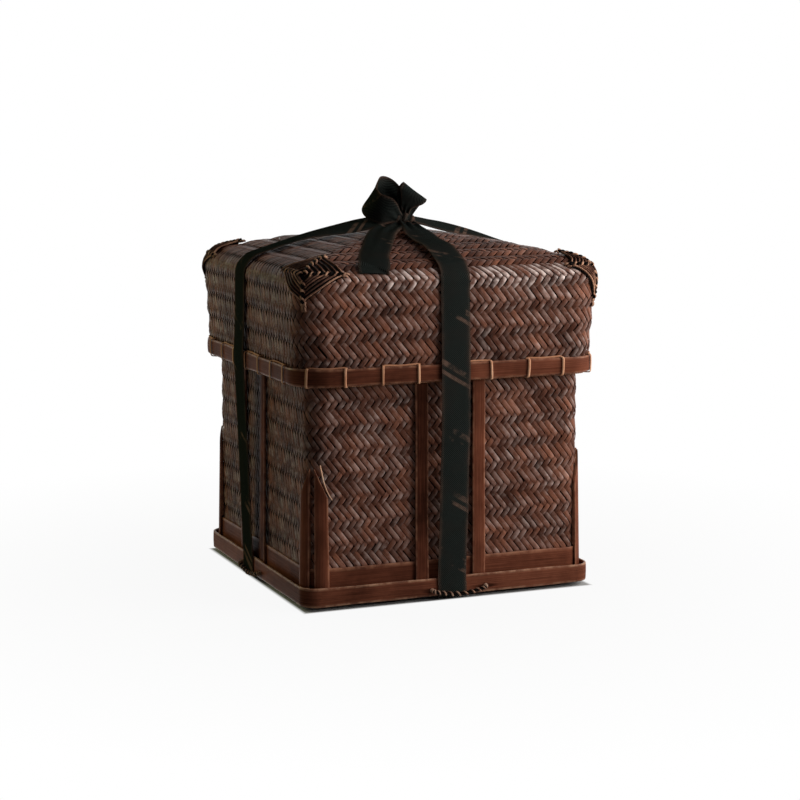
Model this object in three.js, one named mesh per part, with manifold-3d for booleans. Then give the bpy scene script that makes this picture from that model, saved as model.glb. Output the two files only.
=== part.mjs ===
// A square woven bamboo tea set basket with a deep lift-off lid, tied up with a flat ribbon.
// Millimetres, +Z up. The origin is on the table under the middle, and the front faces -Y.
import * as THREE from 'three';
import { mergeVertices } from 'three/addons/utils/BufferGeometryUtils.js';
import Module from 'manifold-3d';

// Clearances
const GAP = 0.3; // between pieces that touch
const SEAT_GAP = 0.5; // between the mouth of the body and the ceiling of the lid
const LEAN_ROOM = 0.7; // room behind the base hoop for the lean of the slats and posts
const RIM_ROOM = 1.2; // from the outside of the slats' feet to the inside of the lid's rim

// Woven body
const BODY_HALF = 108.9; // half the outer width at the foot of the walls
const BODY_TAPER = 0.5; // by how much a wall leans in up to the mouth
const BODY_WALL = 2.4;
const BODY_CORNER = 14;
const BODY_BOTTOM_EDGE = 3; // rounding between floor and walls
const MOUTH_HOOP_THICK = 1.2;
const MOUTH_HOOP_HEIGHT = 11;

// Runners under the floor
const RUNNER_INSET = 6.9; // from the walls to the ends of a runner
const RUNNER_WIDTH = 12;
const RUNNER_HEIGHT = 5.4;
const RUNNER_FROM_WALL = 46.9; // from a wall to the middle of the runner beside it
const RUNNER_NOTCH = 1.5; // depth of the notch that lets the ribbon cross a runner

// Base hoop, the band behind it, and the strips that are pinched between the two
const HOOP_THICK = 1.7;
const HOOP_HEIGHT = 13.8;
const HOOP_LIFT = 3.2; // height of its lower edge over the table
const HOOP_CORNER = 12; // outer corner radius
const BAND_THICK = 1.4;
const BAND_BOTTOM = 8.5;
const BAND_TOP = 30;
const SLAT_THICK = 1.6;
const SLAT_WIDTH = 10.2;
const SLAT_SPACING = 45.5; // between the middles of the two slats of a face
const SLAT_FOOT = 11.2; // height of the lower ends of the slats
const POST_WIDTH = 11;
const POST_FOOT = 4.4;
const POST_TOP = 103;
const POST_CUT = 22; // drop of the slanted knife cut at the top of a post
const POST_ROUND = 6; // from the start of a rounded corner to the middle of a post
const FRONT_RIGHT_POST_ROUND = 14; // the same for the one post that stands nearly on the corner
const RIGHT_LEFT_POST_ROUND = -2; // and for its neighbour, which stands before the corner
const LEFT_SHIFT = -12; // of the slats, the cane loop and the ribbon along the left face, towards the back

// Woven lid
const LID_WALL = 2.4;
const LID_FLARE = 1.4; // by how much a wall leans out from the rim to the rounded top edge
const LID_RIM_CORNER = 24; // corner radius at the rim, and at the rounded top edge
const LID_TOP_CORNER = 17;
const LID_EDGE = 16; // rounding of the top edges
const LID_RIM_Z = 163.6; // height of the lower edge over the table
const LID_EDGE_Z = 248; // height at which the rounded walls would meet a flat top
const LID_DOME = 17; // rise of the domed top
const RIM_HEIGHT = 12.4;
const RIM_OUTER_THICK = 1.8;
const RIM_INNER_THICK = 1.4;

// Cane lashing round the rim of the lid
const LASHING_RADIUS = 1;
const LASHING_PAIRS = 4; // bridged pairs of stitches on each side
const LASHING_SHIFT = 3.5; // from the middle of a side to its nearest stitch
const LASHING_END = 7; // from the end of the cane, inside, back to its first stitch

// Cane bindings wound over the corners of the lid
const BINDING_RADIUS = 0.7;
const BINDING_LOOPS = 6;
const BINDING_START = 16; // reach of the first loop along the edges, from the unrounded corner
const BINDING_PITCH = 3.7;
const BINDING_STANDOFF = 0.6;

// Twisted cane loops on the base hoop, which hold the ribbon
const LOOP_RADIUS = 1.4;
const LOOP_LEFT = -16; // places of the two holes along a face
const LOOP_RIGHT = 27;
const LOOP_HOLE_RISE = 4.5; // from the lower edge of the hoop to the holes
const LOOP_LOW = 3.6; // height of the middle of the loop, which sags, over the table
const LOOP_BEND = 1.8; // width of the bend from a hole to the sagging run
const LOOP_TAIL = 2; // length behind the hoop

// Ribbon
const RIBBON_WIDTH = 22.5;
const RIBBON_THICK = 0.8;
const RIBBON_GATHER = 14; // width where it is drawn together at the knot
const RIBBON_SPREAD = 45; // distance from the middle at which it has its full width again
const RIBBON_REST = 20.2; // from the foot of the dome to where it comes down on the lid
const RIBBON_TURN = 3; // length of the turn under the base hoop
const RIBBON_RISE = 2; // most that a run starts over the middle of the knot
const KNOT_X = 5; // place of the knot, a little to the right of the middle and in front of it
const KNOT_Y = -9.5;
const KNOT_RADIUS = 8.5;
const KNOT_HEIGHT = 14;
const KNOT_FULLNESS = 0.7; // under 1, the knot is fuller than an egg shape
const BOW_GATHER = 10; // width of the bow loops at the knot
const BOW_ROOT = 6; // from the middle of the knot to the foot of a bow loop
const BOW_LEAN = 4; // outward lean of a bow loop on its way up
const BOW_RETURN = 3; // from the side of the knot to the end of a bow loop
const BOW_DROP = 2; // of that end under the foot
const FRONT_BOW_ANGLE = -160; // directions seen from above, in degrees from +X
const RIGHT_BOW_ANGLE = 10;
const TAIL_ANGLE = -124;
const TAIL_INSET = 5; // from the foot of the dome to the end of the tail
const BOW_HEIGHT = 27; // of the front bow loop over the knot
const BOW_REACH = 30;
const RIGHT_BOW_HEIGHT = 20;
const RIGHT_BOW_REACH = 27;

// Facets
const CORNER_STEPS = 6; // of a rounded corner seen from above
const ARC_STEPS = 6; // of the rounded top edges
const DOME_STEPS = 4; // from the middle of the dome to its foot
const LASHING_SIDES = 5;
const LASHING_STEPS = 3; // of a run between two stitches
const BINDING_SIDES = 5;
const BINDING_STEPS = 18; // of one loop
const LOOP_SIDES = 8;
const HOLE_SIDES = 12;
const POST_STEPS = 6; // of a post's bend round its corner
const TURN_STEPS = 3; // of the ribbon's turn under the hoop
const TAIL_STEPS = 7;
const BOW_STEPS = 12;
const KNOT_RINGS = 8;
const KNOT_SIDES = 16;

// Sizes that follow from the ones above
const bodyMouthHalf = BODY_HALF - BODY_TAPER;
const bandOuter = BODY_HALF + GAP + BAND_THICK;
const bandCorner = BODY_CORNER + GAP + BAND_THICK;
const slatInner = bandOuter + GAP;
const hoopInner = slatInner + SLAT_THICK + GAP + LEAN_ROOM;
const hoopHalf = hoopInner + HOOP_THICK;
const hoopTop = HOOP_LIFT + HOOP_HEIGHT;
const bandStraight = bandOuter - bandCorner; // half of a straight side
const runnerOffset = BODY_HALF - RUNNER_FROM_WALL;
const floorZ = RUNNER_HEIGHT + GAP;
const wallFootZ = floorZ + BODY_BOTTOM_EDGE;
const mouthHoopOuter = bodyMouthHalf + GAP + MOUTH_HOOP_THICK;
const mouthHoopCorner = BODY_CORNER + GAP + MOUTH_HOOP_THICK;
const rimInner = slatInner + SLAT_THICK + RIM_ROOM;
const lidRimHalf = rimInner + RIM_INNER_THICK + GAP + LID_WALL;
const lidTopHalf = lidRimHalf + LID_FLARE;
const rimTop = LID_RIM_Z + RIM_HEIGHT;
const rimOuter = lidRimHalf + GAP + RIM_OUTER_THICK;
const rimOuterCorner = LID_RIM_CORNER + GAP + RIM_OUTER_THICK;
const edgeCentreHalf = lidTopHalf - LID_EDGE;
const edgeCentreZ = LID_EDGE_Z - LID_EDGE;
const domeAngle = Math.atan((2 * LID_DOME) / edgeCentreHalf);
const edgeSweep = Math.PI / 2 - domeAngle;
const domeHalf = edgeCentreHalf + LID_EDGE * Math.cos(edgeSweep);
const domeFootZ = edgeCentreZ + LID_EDGE * Math.sin(edgeSweep);
const domeCorner = LID_TOP_CORNER - (lidTopHalf - domeHalf);
const domeTopZ = domeFootZ + LID_DOME;
const ribbonTouch = domeHalf - RIBBON_REST;
const knotZ = domeTopZ + GAP + KNOT_HEIGHT / 2;
const ribbonOut = GAP + RIBBON_THICK / 2; // from a surface to the middle of a ribbon on it
const ribbonRimOut = rimOuter + 2 * LASHING_RADIUS + GAP + ribbonOut; // where it passes the rim

// The mouth reaches up to the rounded ceiling of the lid, where that is nearest to its outer hoop.
const lidInnerHalf = lidTopHalf - LID_WALL;
const lidInnerDiagonal = cornerReach(lidInnerHalf, LID_TOP_CORNER - LID_WALL);
const cornerInset = lidInnerDiagonal - cornerReach(mouthHoopOuter, mouthHoopCorner);
const mouthInset = Math.min(lidInnerHalf - mouthHoopOuter, cornerInset);
const ceilingRadius = LID_EDGE - LID_WALL;
const ceilingRise = Math.sqrt(ceilingRadius ** 2 - (ceilingRadius - mouthInset) ** 2);
const mouthZ = edgeCentreZ + ceilingRise - SEAT_GAP;
const slatTop = mouthZ - MOUTH_HOOP_HEIGHT - GAP;

const wasm = await Module();
wasm.setup();

const basket = new THREE.Group();
const faces = ['front', 'right', 'back', 'left'];
const faceShifts = [0, 0, 0, LEFT_SHIFT];
const knotPlace = new THREE.Vector2(KNOT_X, KNOT_Y);

// Materials
const weave = () => new THREE.MeshStandardMaterial({ color: 0x6b4438, roughness: 0.55, metalness: 0 });
const bamboo = () => new THREE.MeshStandardMaterial({ color: 0x5c3728, roughness: 0.5, metalness: 0 });
const cane = () => new THREE.MeshStandardMaterial({ color: 0xb98a5e, roughness: 0.5, metalness: 0 });
const cloth = () => new THREE.MeshStandardMaterial({ color: 0x1f2423, roughness: 0.9, metalness: 0 });

// Distance from the middle to the rounded corner of a square, along the diagonal
function cornerReach(half, corner) {
  return (half - corner) * Math.SQRT2 + corner;
}

// Half the outer width of the woven body at a height
function bodyHalf(z) {
  const share = (z - wallFootZ) / (mouthZ - wallFootZ);
  return BODY_HALF + (bodyMouthHalf - BODY_HALF) * share;
}

// Height of the domed top of the lid at a distance from the middle, along a face's axis
function domeZ(reach) {
  return domeFootZ + LID_DOME * (1 - (reach / domeHalf) ** 2);
}

// Signed distance to a rounded square around the middle
function squareDistance(x, y, half, corner) {
  const dx = Math.abs(x) - half + corner;
  const dy = Math.abs(y) - half + corner;
  const outside = Math.hypot(Math.max(dx, 0), Math.max(dy, 0));
  return outside + Math.min(Math.max(dx, dy), 0) - corner;
}

// Signed distance to the outside of the lid, as if its top were flat
function lidDistance(p) {
  const across = squareDistance(p.x, p.y, lidTopHalf, LID_TOP_CORNER) + LID_EDGE;
  const up = p.z - edgeCentreZ;
  const outside = Math.hypot(Math.max(across, 0), Math.max(up, 0));
  return outside + Math.min(Math.max(across, up), 0) - LID_EDGE;
}

// A point moved along the slope of the distance to lie at an offset outside the lid
function ontoLid(p, offset) {
  const step = 0.01;
  const slope = new THREE.Vector3(
    lidDistance(p.clone().setX(p.x + step)) - lidDistance(p.clone().setX(p.x - step)),
    lidDistance(p.clone().setY(p.y + step)) - lidDistance(p.clone().setY(p.y - step)),
    lidDistance(p.clone().setZ(p.z + step)) - lidDistance(p.clone().setZ(p.z - step)),
  ).normalize();
  const q = p.clone().addScaledVector(slope, offset - lidDistance(p));
  const inside = squareDistance(q.x, q.y, domeHalf, domeCorner);
  const domed = inside < 0 ? domeZ(domeHalf + inside) + offset : q.z;
  return q.setZ(Math.max(q.z, domed));
}

// Points of a rounded square, anticlockwise from above
function squareRing(half, corner, z) {
  const ring = [];
  const centre = half - corner;
  for (let k = 0; k < 4; k++) {
    for (let i = 0; i <= CORNER_STEPS; i++) {
      const angle = (Math.PI / 2) * (k + i / CORNER_STEPS);
      const sx = k === 0 || k === 3 ? 1 : -1;
      const sy = k < 2 ? 1 : -1;
      ring.push(
        new THREE.Vector3(sx * centre + corner * Math.cos(angle), sy * centre + corner * Math.sin(angle), z),
      );
    }
  }
  return ring;
}

// A closed solid through rings with equal numbers of points, with a flat fan over each end
function loft(rings) {
  const count = rings[0].length;
  const points = rings.flat();
  const triangles = [];
  for (let r = 0; r + 1 < rings.length; r++) {
    for (let i = 0; i < count; i++) {
      const a = r * count + i;
      const b = r * count + ((i + 1) % count);
      triangles.push(a, b, b + count, a, b + count, a + count);
    }
  }
  const ends = [
    { ring: rings[0], start: 0, flip: true },
    { ring: rings[rings.length - 1], start: (rings.length - 1) * count, flip: false },
  ];
  for (const end of ends) {
    const middle = new THREE.Vector3();
    end.ring.forEach((p) => middle.addScaledVector(p, 1 / count));
    const centre = points.push(middle) - 1;
    for (let i = 0; i < count; i++) {
      const a = end.start + i;
      const b = end.start + ((i + 1) % count);
      triangles.push(centre, ...(end.flip ? [b, a] : [a, b]));
    }
  }
  const geometry = new THREE.BufferGeometry();
  geometry.setAttribute('position', new THREE.Float32BufferAttribute(points.flatMap((p) => p.toArray()), 3));
  geometry.setIndex(triangles);
  return geometry;
}

// Direction of a path at one of its points
function heading(path, i) {
  const before = path[Math.max(i - 1, 0)];
  const after = path[Math.min(i + 1, path.length - 1)];
  return after.clone().sub(before).normalize();
}

// A round tube along points, carried without twist; no path here starts along the first side
function tube(path, radius, sides) {
  let side = new THREE.Vector3(1, 2, 3);
  const rings = path.map((p, i) => {
    const ahead = heading(path, i);
    side = side.clone().addScaledVector(ahead, -side.dot(ahead)).normalize();
    const other = ahead.clone().cross(side);
    return Array.from({ length: sides }, (_, k) => {
      const angle = (2 * Math.PI * k) / sides;
      return p.clone()
        .addScaledVector(side, radius * Math.cos(angle))
        .addScaledVector(other, radius * Math.sin(angle));
    });
  });
  return loft(rings);
}

// A flat band along points, with its width along a fixed direction
function band(path, widths, across) {
  const rings = path.map((p, i) => {
    const ahead = heading(path, i);
    const wide = across.clone().addScaledVector(ahead, -across.dot(ahead)).normalize();
    const thick = ahead.clone().cross(wide);
    const corners = [[1, 1], [-1, 1], [-1, -1], [1, -1]];
    return corners.map(([w, t]) => p.clone()
      .addScaledVector(wide, (w * widths[i]) / 2)
      .addScaledVector(thick, (t * RIBBON_THICK) / 2));
  });
  return loft(rings);
}

// Least gap of a tube to itself, between points that are more than a few steps apart
function leastGap(path, radius, skip) {
  let least = Infinity;
  for (let i = 0; i < path.length; i++) {
    for (let j = i + skip; j < path.length; j++) {
      least = Math.min(least, path[i].distanceTo(path[j]) - 2 * radius);
    }
  }
  return least;
}

// A shape with rounded corners, for hoops
function squareShape(half, corner) {
  const points = squareRing(half, corner, 0).map((p) => new THREE.Vector2(p.x, p.y));
  return new THREE.Shape(points);
}

function hoop(outerHalf, outerCorner, thick, z, height) {
  const shape = squareShape(outerHalf, outerCorner);
  shape.holes.push(squareShape(outerHalf - thick, outerCorner - thick));
  const geometry = new THREE.ExtrudeGeometry(shape, { depth: height, bevelEnabled: false });
  return geometry.translate(0, 0, z);
}

function toSolid(geometry) {
  const bare = geometry.clone();
  bare.deleteAttribute('normal');
  bare.deleteAttribute('uv');
  const merged = mergeVertices(bare);
  const vertProperties = new Float32Array(merged.attributes.position.array);
  const triVerts = new Uint32Array(merged.index.array);
  return new wasm.Manifold(new wasm.Mesh({ numProp: 3, vertProperties, triVerts }));
}

function toGeometry(solid) {
  const mesh = solid.getMesh();
  const geometry = new THREE.BufferGeometry();
  geometry.setAttribute('position', new THREE.Float32BufferAttribute(mesh.vertProperties, 3));
  geometry.setIndex(Array.from(mesh.triVerts));
  return geometry;
}

function addPiece(name, geometry, material, quarterTurns = 0) {
  const mesh = new THREE.Mesh(geometry, material);
  mesh.name = name;
  mesh.rotation.z = (Math.PI / 2) * quarterTurns;
  basket.add(mesh);
}

// Points on the front face: along the face, outward from the middle, and up
const onFront = (along, out, z) => new THREE.Vector3(along, -out, z);

// Woven body with its floor, open at the mouth
function bodyShell() {
  const innerFloor = floorZ + BODY_WALL;
  const rings = [
    squareRing(BODY_HALF - BODY_BOTTOM_EDGE, BODY_CORNER - BODY_BOTTOM_EDGE, floorZ),
    squareRing(BODY_HALF, BODY_CORNER, wallFootZ),
    squareRing(bodyMouthHalf, BODY_CORNER, mouthZ),
    squareRing(bodyMouthHalf - BODY_WALL, BODY_CORNER - BODY_WALL, mouthZ),
    squareRing(BODY_HALF - BODY_WALL, BODY_CORNER - BODY_WALL, innerFloor),
  ];
  return loft(rings);
}

// Woven lid: rounded top edges, domed top, open below
function lidShell() {
  const rings = [];
  const inset = LID_WALL * Math.sin(domeAngle);
  const domeRing = (i, half, corner, drop) => {
    const share = i / DOME_STEPS;
    return squareRing(half * share, corner * share, domeZ(share * domeHalf) - drop);
  };
  for (let i = 1; i < DOME_STEPS; i++) {
    rings.push(domeRing(i, domeHalf - inset, domeCorner - inset, LID_WALL));
  }
  for (let i = ARC_STEPS; i >= 0; i--) {
    const angle = (edgeSweep * i) / ARC_STEPS;
    const away = LID_EDGE - ceilingRadius * Math.cos(angle);
    const z = edgeCentreZ + ceilingRadius * Math.sin(angle);
    rings.push(squareRing(lidTopHalf - away, LID_TOP_CORNER - away, z));
  }
  rings.push(squareRing(lidRimHalf - LID_WALL, LID_RIM_CORNER - LID_WALL, rimTop));
  rings.push(squareRing(lidRimHalf - LID_WALL, LID_RIM_CORNER - LID_WALL, LID_RIM_Z));
  rings.push(squareRing(lidRimHalf, LID_RIM_CORNER, LID_RIM_Z));
  rings.push(squareRing(lidRimHalf, LID_RIM_CORNER, rimTop));
  for (let i = 0; i <= ARC_STEPS; i++) {
    const angle = (edgeSweep * i) / ARC_STEPS;
    const away = LID_EDGE * (1 - Math.cos(angle));
    const z = edgeCentreZ + LID_EDGE * Math.sin(angle);
    rings.push(squareRing(lidTopHalf - away, LID_TOP_CORNER - away, z));
  }
  for (let i = DOME_STEPS - 1; i > 0; i--) {
    rings.push(domeRing(i, domeHalf, domeCorner, 0));
  }
  return loft(rings);
}

// Base hoop with the holes for the cane loops
function baseHoop() {
  let solid = toSolid(hoop(hoopHalf, HOOP_CORNER, HOOP_THICK, HOOP_LIFT, HOOP_HEIGHT));
  const holeRadius = LOOP_RADIUS + GAP;
  const drillLength = 4 * HOOP_THICK;
  for (let k = 0; k < faces.length; k++) {
    for (const hole of [LOOP_LEFT, LOOP_RIGHT]) {
      const along = hole + faceShifts[k];
      const drill = new THREE.CylinderGeometry(holeRadius, holeRadius, drillLength, HOLE_SIDES);
      drill.translate(along, -(hoopHalf - HOOP_THICK / 2), HOOP_LIFT + LOOP_HOLE_RISE);
      drill.rotateZ((Math.PI / 2) * k);
      solid = solid.subtract(toSolid(drill));
    }
  }
  return toGeometry(solid);
}

// A slat on the front face: its foot lies against the band, its top against the weave
function faceSlat(side, shift) {
  const left = (side * SLAT_SPACING - SLAT_WIDTH) / 2 + shift;
  const right = left + SLAT_WIDTH;
  const outline = [
    new THREE.Vector2(left, SLAT_FOOT),
    new THREE.Vector2(right, SLAT_FOOT),
    new THREE.Vector2(right, slatTop),
    new THREE.Vector2(left, slatTop),
  ];
  const geometry = new THREE.ExtrudeGeometry(new THREE.Shape(outline), {
    depth: SLAT_THICK,
    bevelEnabled: false,
  });
  const lean = slatInner - bodyHalf(slatTop) - GAP;
  geometry.rotateX(Math.PI / 2);
  geometry.translate(0, 0, -BAND_TOP);
  geometry.rotateX(-Math.atan2(lean, slatTop - BAND_TOP));
  return geometry.translate(0, -slatInner, BAND_TOP);
}

// A point at a place along the front, taken round the corner at its end, outside the corner's middle
function aroundBody(place, corner, z) {
  const past = Math.abs(place) - bandStraight;
  if (past < 0) {
    return onFront(place, bandStraight + corner, z);
  }
  const angle = past / bandCorner;
  const along = bandStraight + corner * Math.sin(angle);
  return onFront(Math.sign(place) * along, bandStraight + corner * Math.cos(angle), z);
}

// A short post bent round a corner, with a slanted knife cut at its top; it leans in towards the weave
function cornerPost(side, round) {
  const middle = side * (bandStraight + round);
  const lean = (bandCorner - BODY_CORNER) / (POST_TOP - BAND_TOP);
  const inner = (z) => bandCorner + GAP - lean * (z - BAND_TOP);
  const rings = [];
  for (let i = 0; i <= POST_STEPS; i++) {
    const share = i / POST_STEPS;
    const place = middle + POST_WIDTH * (share - 0.5);
    const top = POST_TOP - POST_CUT * (side < 0 ? share : 1 - share);
    rings.push([
      aroundBody(place, inner(POST_FOOT) + SLAT_THICK, POST_FOOT),
      aroundBody(place, inner(POST_FOOT), POST_FOOT),
      aroundBody(place, inner(top), top),
      aroundBody(place, inner(top) + SLAT_THICK, top),
    ]);
  }
  return loft(rings);
}

// A runner under the floor, with a notch in its top where the ribbon crosses
function runner() {
  const end = BODY_HALF - RUNNER_INSET;
  const notch = RIBBON_WIDTH / 2 + GAP;
  const outline = [
    [-end, 0], [end, 0], [end, RUNNER_HEIGHT], [notch, RUNNER_HEIGHT], [notch, RUNNER_HEIGHT - RUNNER_NOTCH],
    [-notch, RUNNER_HEIGHT - RUNNER_NOTCH], [-notch, RUNNER_HEIGHT], [-end, RUNNER_HEIGHT],
  ].map(([x, z]) => new THREE.Vector2(x, z));
  const geometry = new THREE.ExtrudeGeometry(new THREE.Shape(outline), {
    depth: RUNNER_WIDTH,
    bevelEnabled: false,
  });
  geometry.rotateX(Math.PI / 2);
  return geometry.translate(0, RUNNER_WIDTH / 2 - runnerOffset, 0);
}

// A cane loop in front of the base hoop, in through a hole at each end
function baseLoop(shift) {
  const holeZ = HOOP_LIFT + LOOP_HOLE_RISE;
  const backOut = hoopInner - LOOP_TAIL;
  const frontOut = hoopHalf + 3 * GAP + RIBBON_THICK + LOOP_RADIUS;
  const left = LOOP_LEFT + shift;
  const right = LOOP_RIGHT + shift;
  const quarter = (right - left) / 4;
  const middle = (left + right) / 2;
  const controls = [
    onFront(left, backOut, holeZ),
    onFront(left, hoopHalf - HOOP_THICK / 2, holeZ),
    onFront(left, hoopHalf + GAP, holeZ),
    onFront(left + LOOP_BEND, frontOut, holeZ - GAP),
    onFront(middle - quarter, frontOut, (holeZ + 2 * LOOP_LOW) / 3),
    onFront(middle, frontOut, LOOP_LOW),
    onFront(middle + quarter, frontOut, (holeZ + 2 * LOOP_LOW) / 3),
    onFront(right - LOOP_BEND, frontOut, holeZ - GAP),
    onFront(right, hoopHalf + GAP, holeZ),
    onFront(right, hoopHalf - HOOP_THICK / 2, holeZ),
    onFront(right, backOut, holeZ),
  ];
  return tube(controls, LOOP_RADIUS, LOOP_SIDES);
}

// A point on a rounded square at a length along its outline, from the middle of the front to the right
function alongSquare(length, half, corner, z) {
  const straight = half - corner;
  const arc = (Math.PI / 2) * corner;
  const side = 2 * straight + arc;
  const turns = Math.floor((length + straight) / side);
  const rest = length + straight - turns * side - straight;
  let p = onFront(rest, half, z);
  if (rest > straight) {
    const angle = (rest - straight) / corner;
    p = onFront(straight + corner * Math.sin(angle), straight + corner * Math.cos(angle), z);
  }
  return p.applyAxisAngle(new THREE.Vector3(0, 0, 1), (Math.PI / 2) * turns);
}

// One cane round the whole rim: up the outside, along, down, under the rim, and the same inside
function rimLashing() {
  const out = LASHING_RADIUS + GAP;
  const straight = rimOuter - rimOuterCorner;
  const side = 2 * straight + (Math.PI / 2) * rimOuterCorner;
  const spacing = side / (2 * LASHING_PAIRS);
  const insideCorner = rimOuterCorner - (rimOuter - rimInner);
  const insideSide = 2 * straight + (Math.PI / 2) * insideCorner;
  const highZ = rimTop + out;
  const lowZ = LID_RIM_Z - out;
  const outer = (length, half, z) => {
    const corner = rimOuterCorner - (rimOuter - half);
    const span = 2 * straight + (Math.PI / 2) * corner;
    return alongSquare((length * span) / side, half, corner, z);
  };
  const inner = (length, z) => {
    return alongSquare((length * insideSide) / side, rimInner - out, insideCorner - out, z);
  };
  const runHalf = lidRimHalf + out + GAP;
  const path = [];
  const pairs = LASHING_PAIRS * faces.length;
  for (let j = 0; j < pairs; j++) {
    const first = LASHING_SHIFT + 2 * j * spacing;
    const second = first + spacing;
    const third = second + spacing - (j === pairs - 1 ? LASHING_END : 0);
    path.push(outer(first, rimOuter + out, lowZ), outer(first, rimOuter + out, highZ));
    for (let i = 0; i <= LASHING_STEPS; i++) {
      path.push(outer(first + (spacing * i) / LASHING_STEPS, runHalf, highZ));
    }
    path.push(outer(second, rimOuter + out, highZ), outer(second, rimOuter + out, lowZ), inner(second, lowZ));
    for (let i = 0; i <= LASHING_STEPS; i++) {
      path.push(inner(second + ((third - second) * i) / LASHING_STEPS, rimTop - out));
    }
    path.push(inner(third, lowZ));
  }
  console.log('rim lashing, least gap to itself', leastGap(path, LASHING_RADIUS, 6).toFixed(2), 'mm');
  return tube(path, LASHING_RADIUS, LASHING_SIDES);
}

// One cane wound round and round the front right corner of the lid, in widening triangles
function cornerBinding() {
  const corner = new THREE.Vector3(lidTopHalf, -lidTopHalf, LID_EDGE_Z);
  const edges = [new THREE.Vector3(-1, 0, 0), new THREE.Vector3(0, 1, 0), new THREE.Vector3(0, 0, -1)];
  const path = [];
  for (let i = 0; i <= BINDING_LOOPS * BINDING_STEPS; i++) {
    const turn = i / BINDING_STEPS;
    const from = Math.floor(turn * 3);
    const share = turn * 3 - from;
    const reach = BINDING_START + BINDING_PITCH * turn;
    const p = corner.clone()
      .addScaledVector(edges[from % 3], reach * (1 - share))
      .addScaledVector(edges[(from + 1) % 3], reach * share);
    path.push(ontoLid(p, BINDING_RADIUS + BINDING_STANDOFF));
  }
  const gap = leastGap(path, BINDING_RADIUS, BINDING_STEPS / 2);
  console.log('corner binding, least gap to itself', gap.toFixed(2), 'mm');
  return tube(path, BINDING_RADIUS, BINDING_SIDES);
}

// Ribbon from the knot over the lid and down to its rim, where it may lie beside the middle of the face
function topRibbon(quarterTurns, shift) {
  const touchZ = domeZ(ribbonTouch) + ribbonOut;
  const slope = (2 * LID_DOME * ribbonTouch) / domeHalf ** 2;
  const knotAt = knotPlace.clone().rotateAround(new THREE.Vector2(), (-Math.PI / 2) * quarterTurns);
  const start = KNOT_RADIUS + GAP - knotAt.y;
  const startZ = Math.min(touchZ + slope * (ribbonTouch - start), knotZ + RIBBON_RISE);
  const spreadZ = touchZ + slope * (ribbonTouch - RIBBON_SPREAD);
  const along = (out) => knotAt.x + ((shift - knotAt.x) * (out - start)) / (domeHalf - start);
  const path = [
    onFront(knotAt.x, start, startZ),
    onFront(along(RIBBON_SPREAD), RIBBON_SPREAD, spreadZ),
    onFront(along(ribbonTouch), ribbonTouch, touchZ),
  ];
  for (let i = ARC_STEPS; i >= 0; i--) {
    const angle = (edgeSweep * i) / ARC_STEPS;
    const radius = LID_EDGE + ribbonOut;
    const out = edgeCentreHalf + radius * Math.cos(angle);
    path.push(onFront(shift, out, edgeCentreZ + radius * Math.sin(angle)));
  }
  path.push(onFront(shift, ribbonRimOut, rimTop + 2 * LASHING_RADIUS + 2 * GAP));
  path.push(onFront(shift, ribbonRimOut, LID_RIM_Z));
  const widths = path.map((p, i) => (i === 0 ? RIBBON_GATHER : RIBBON_WIDTH));
  return band(path, widths, new THREE.Vector3(1, 0, 0));
}

// Ribbon from the rim of the lid down the side and under the base hoop
function sideRibbon(shift) {
  const path = [onFront(shift, ribbonRimOut, LID_RIM_Z - GAP), onFront(shift, hoopHalf + ribbonOut, hoopTop)];
  for (let i = 0; i <= TURN_STEPS; i++) {
    const angle = ((Math.PI / 2) * i) / TURN_STEPS;
    const out = hoopHalf + ribbonOut * Math.cos(angle);
    path.push(onFront(shift, out, HOOP_LIFT - ribbonOut * Math.sin(angle)));
  }
  path.push(onFront(shift, hoopHalf - RIBBON_TURN, HOOP_LIFT - ribbonOut));
  return band(path, path.map(() => RIBBON_WIDTH), new THREE.Vector3(1, 0, 0));
}

// Ribbon under the floor from front to back; it lies in the notches of the runners that it crosses
function underRibbonFrontBack() {
  const end = hoopHalf - RIBBON_TURN - GAP;
  const endZ = HOOP_LIFT - ribbonOut;
  const level = runnerOffset + RUNNER_WIDTH;
  const highZ = RUNNER_HEIGHT - RUNNER_NOTCH + ribbonOut;
  const path = [
    onFront(0, end, endZ),
    onFront(0, level, highZ),
    onFront(0, -level, highZ),
    onFront(0, -end, endZ),
  ];
  return band(path, path.map(() => RIBBON_WIDTH), new THREE.Vector3(1, 0, 0));
}

// Ribbon under the floor from the right side to its place on the left side
function underRibbonRightLeft() {
  const end = hoopHalf - RIBBON_TURN - GAP;
  const endZ = HOOP_LIFT - ribbonOut;
  const level = end - RIBBON_WIDTH;
  const shift = -LEFT_SHIFT;
  const path = [
    onFront(0, end, endZ),
    onFront(0, level, endZ),
    onFront(shift, -level, endZ),
    onFront(shift, -end, endZ),
  ];
  return band(path, path.map(() => RIBBON_WIDTH), new THREE.Vector3(1, 0, 0));
}

function knot() {
  const profile = [];
  for (let i = 0; i <= KNOT_RINGS; i++) {
    const angle = Math.PI * (i / KNOT_RINGS - 0.5);
    const radius = i === 0 || i === KNOT_RINGS ? 0 : KNOT_RADIUS * Math.cos(angle) ** KNOT_FULLNESS;
    profile.push(new THREE.Vector2(radius, (KNOT_HEIGHT / 2) * Math.sin(angle)));
  }
  const geometry = new THREE.LatheGeometry(profile, KNOT_SIDES);
  geometry.rotateX(Math.PI / 2);
  return geometry.translate(KNOT_X, KNOT_Y, knotZ);
}

// Directions towards and across a ribbon that leaves the knot, seen from above
function fromKnot(degrees) {
  const angle = THREE.MathUtils.degToRad(degrees);
  const towards = new THREE.Vector3(Math.cos(angle), Math.sin(angle), 0);
  return { towards, across: new THREE.Vector3(-towards.y, towards.x, 0) };
}

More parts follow.
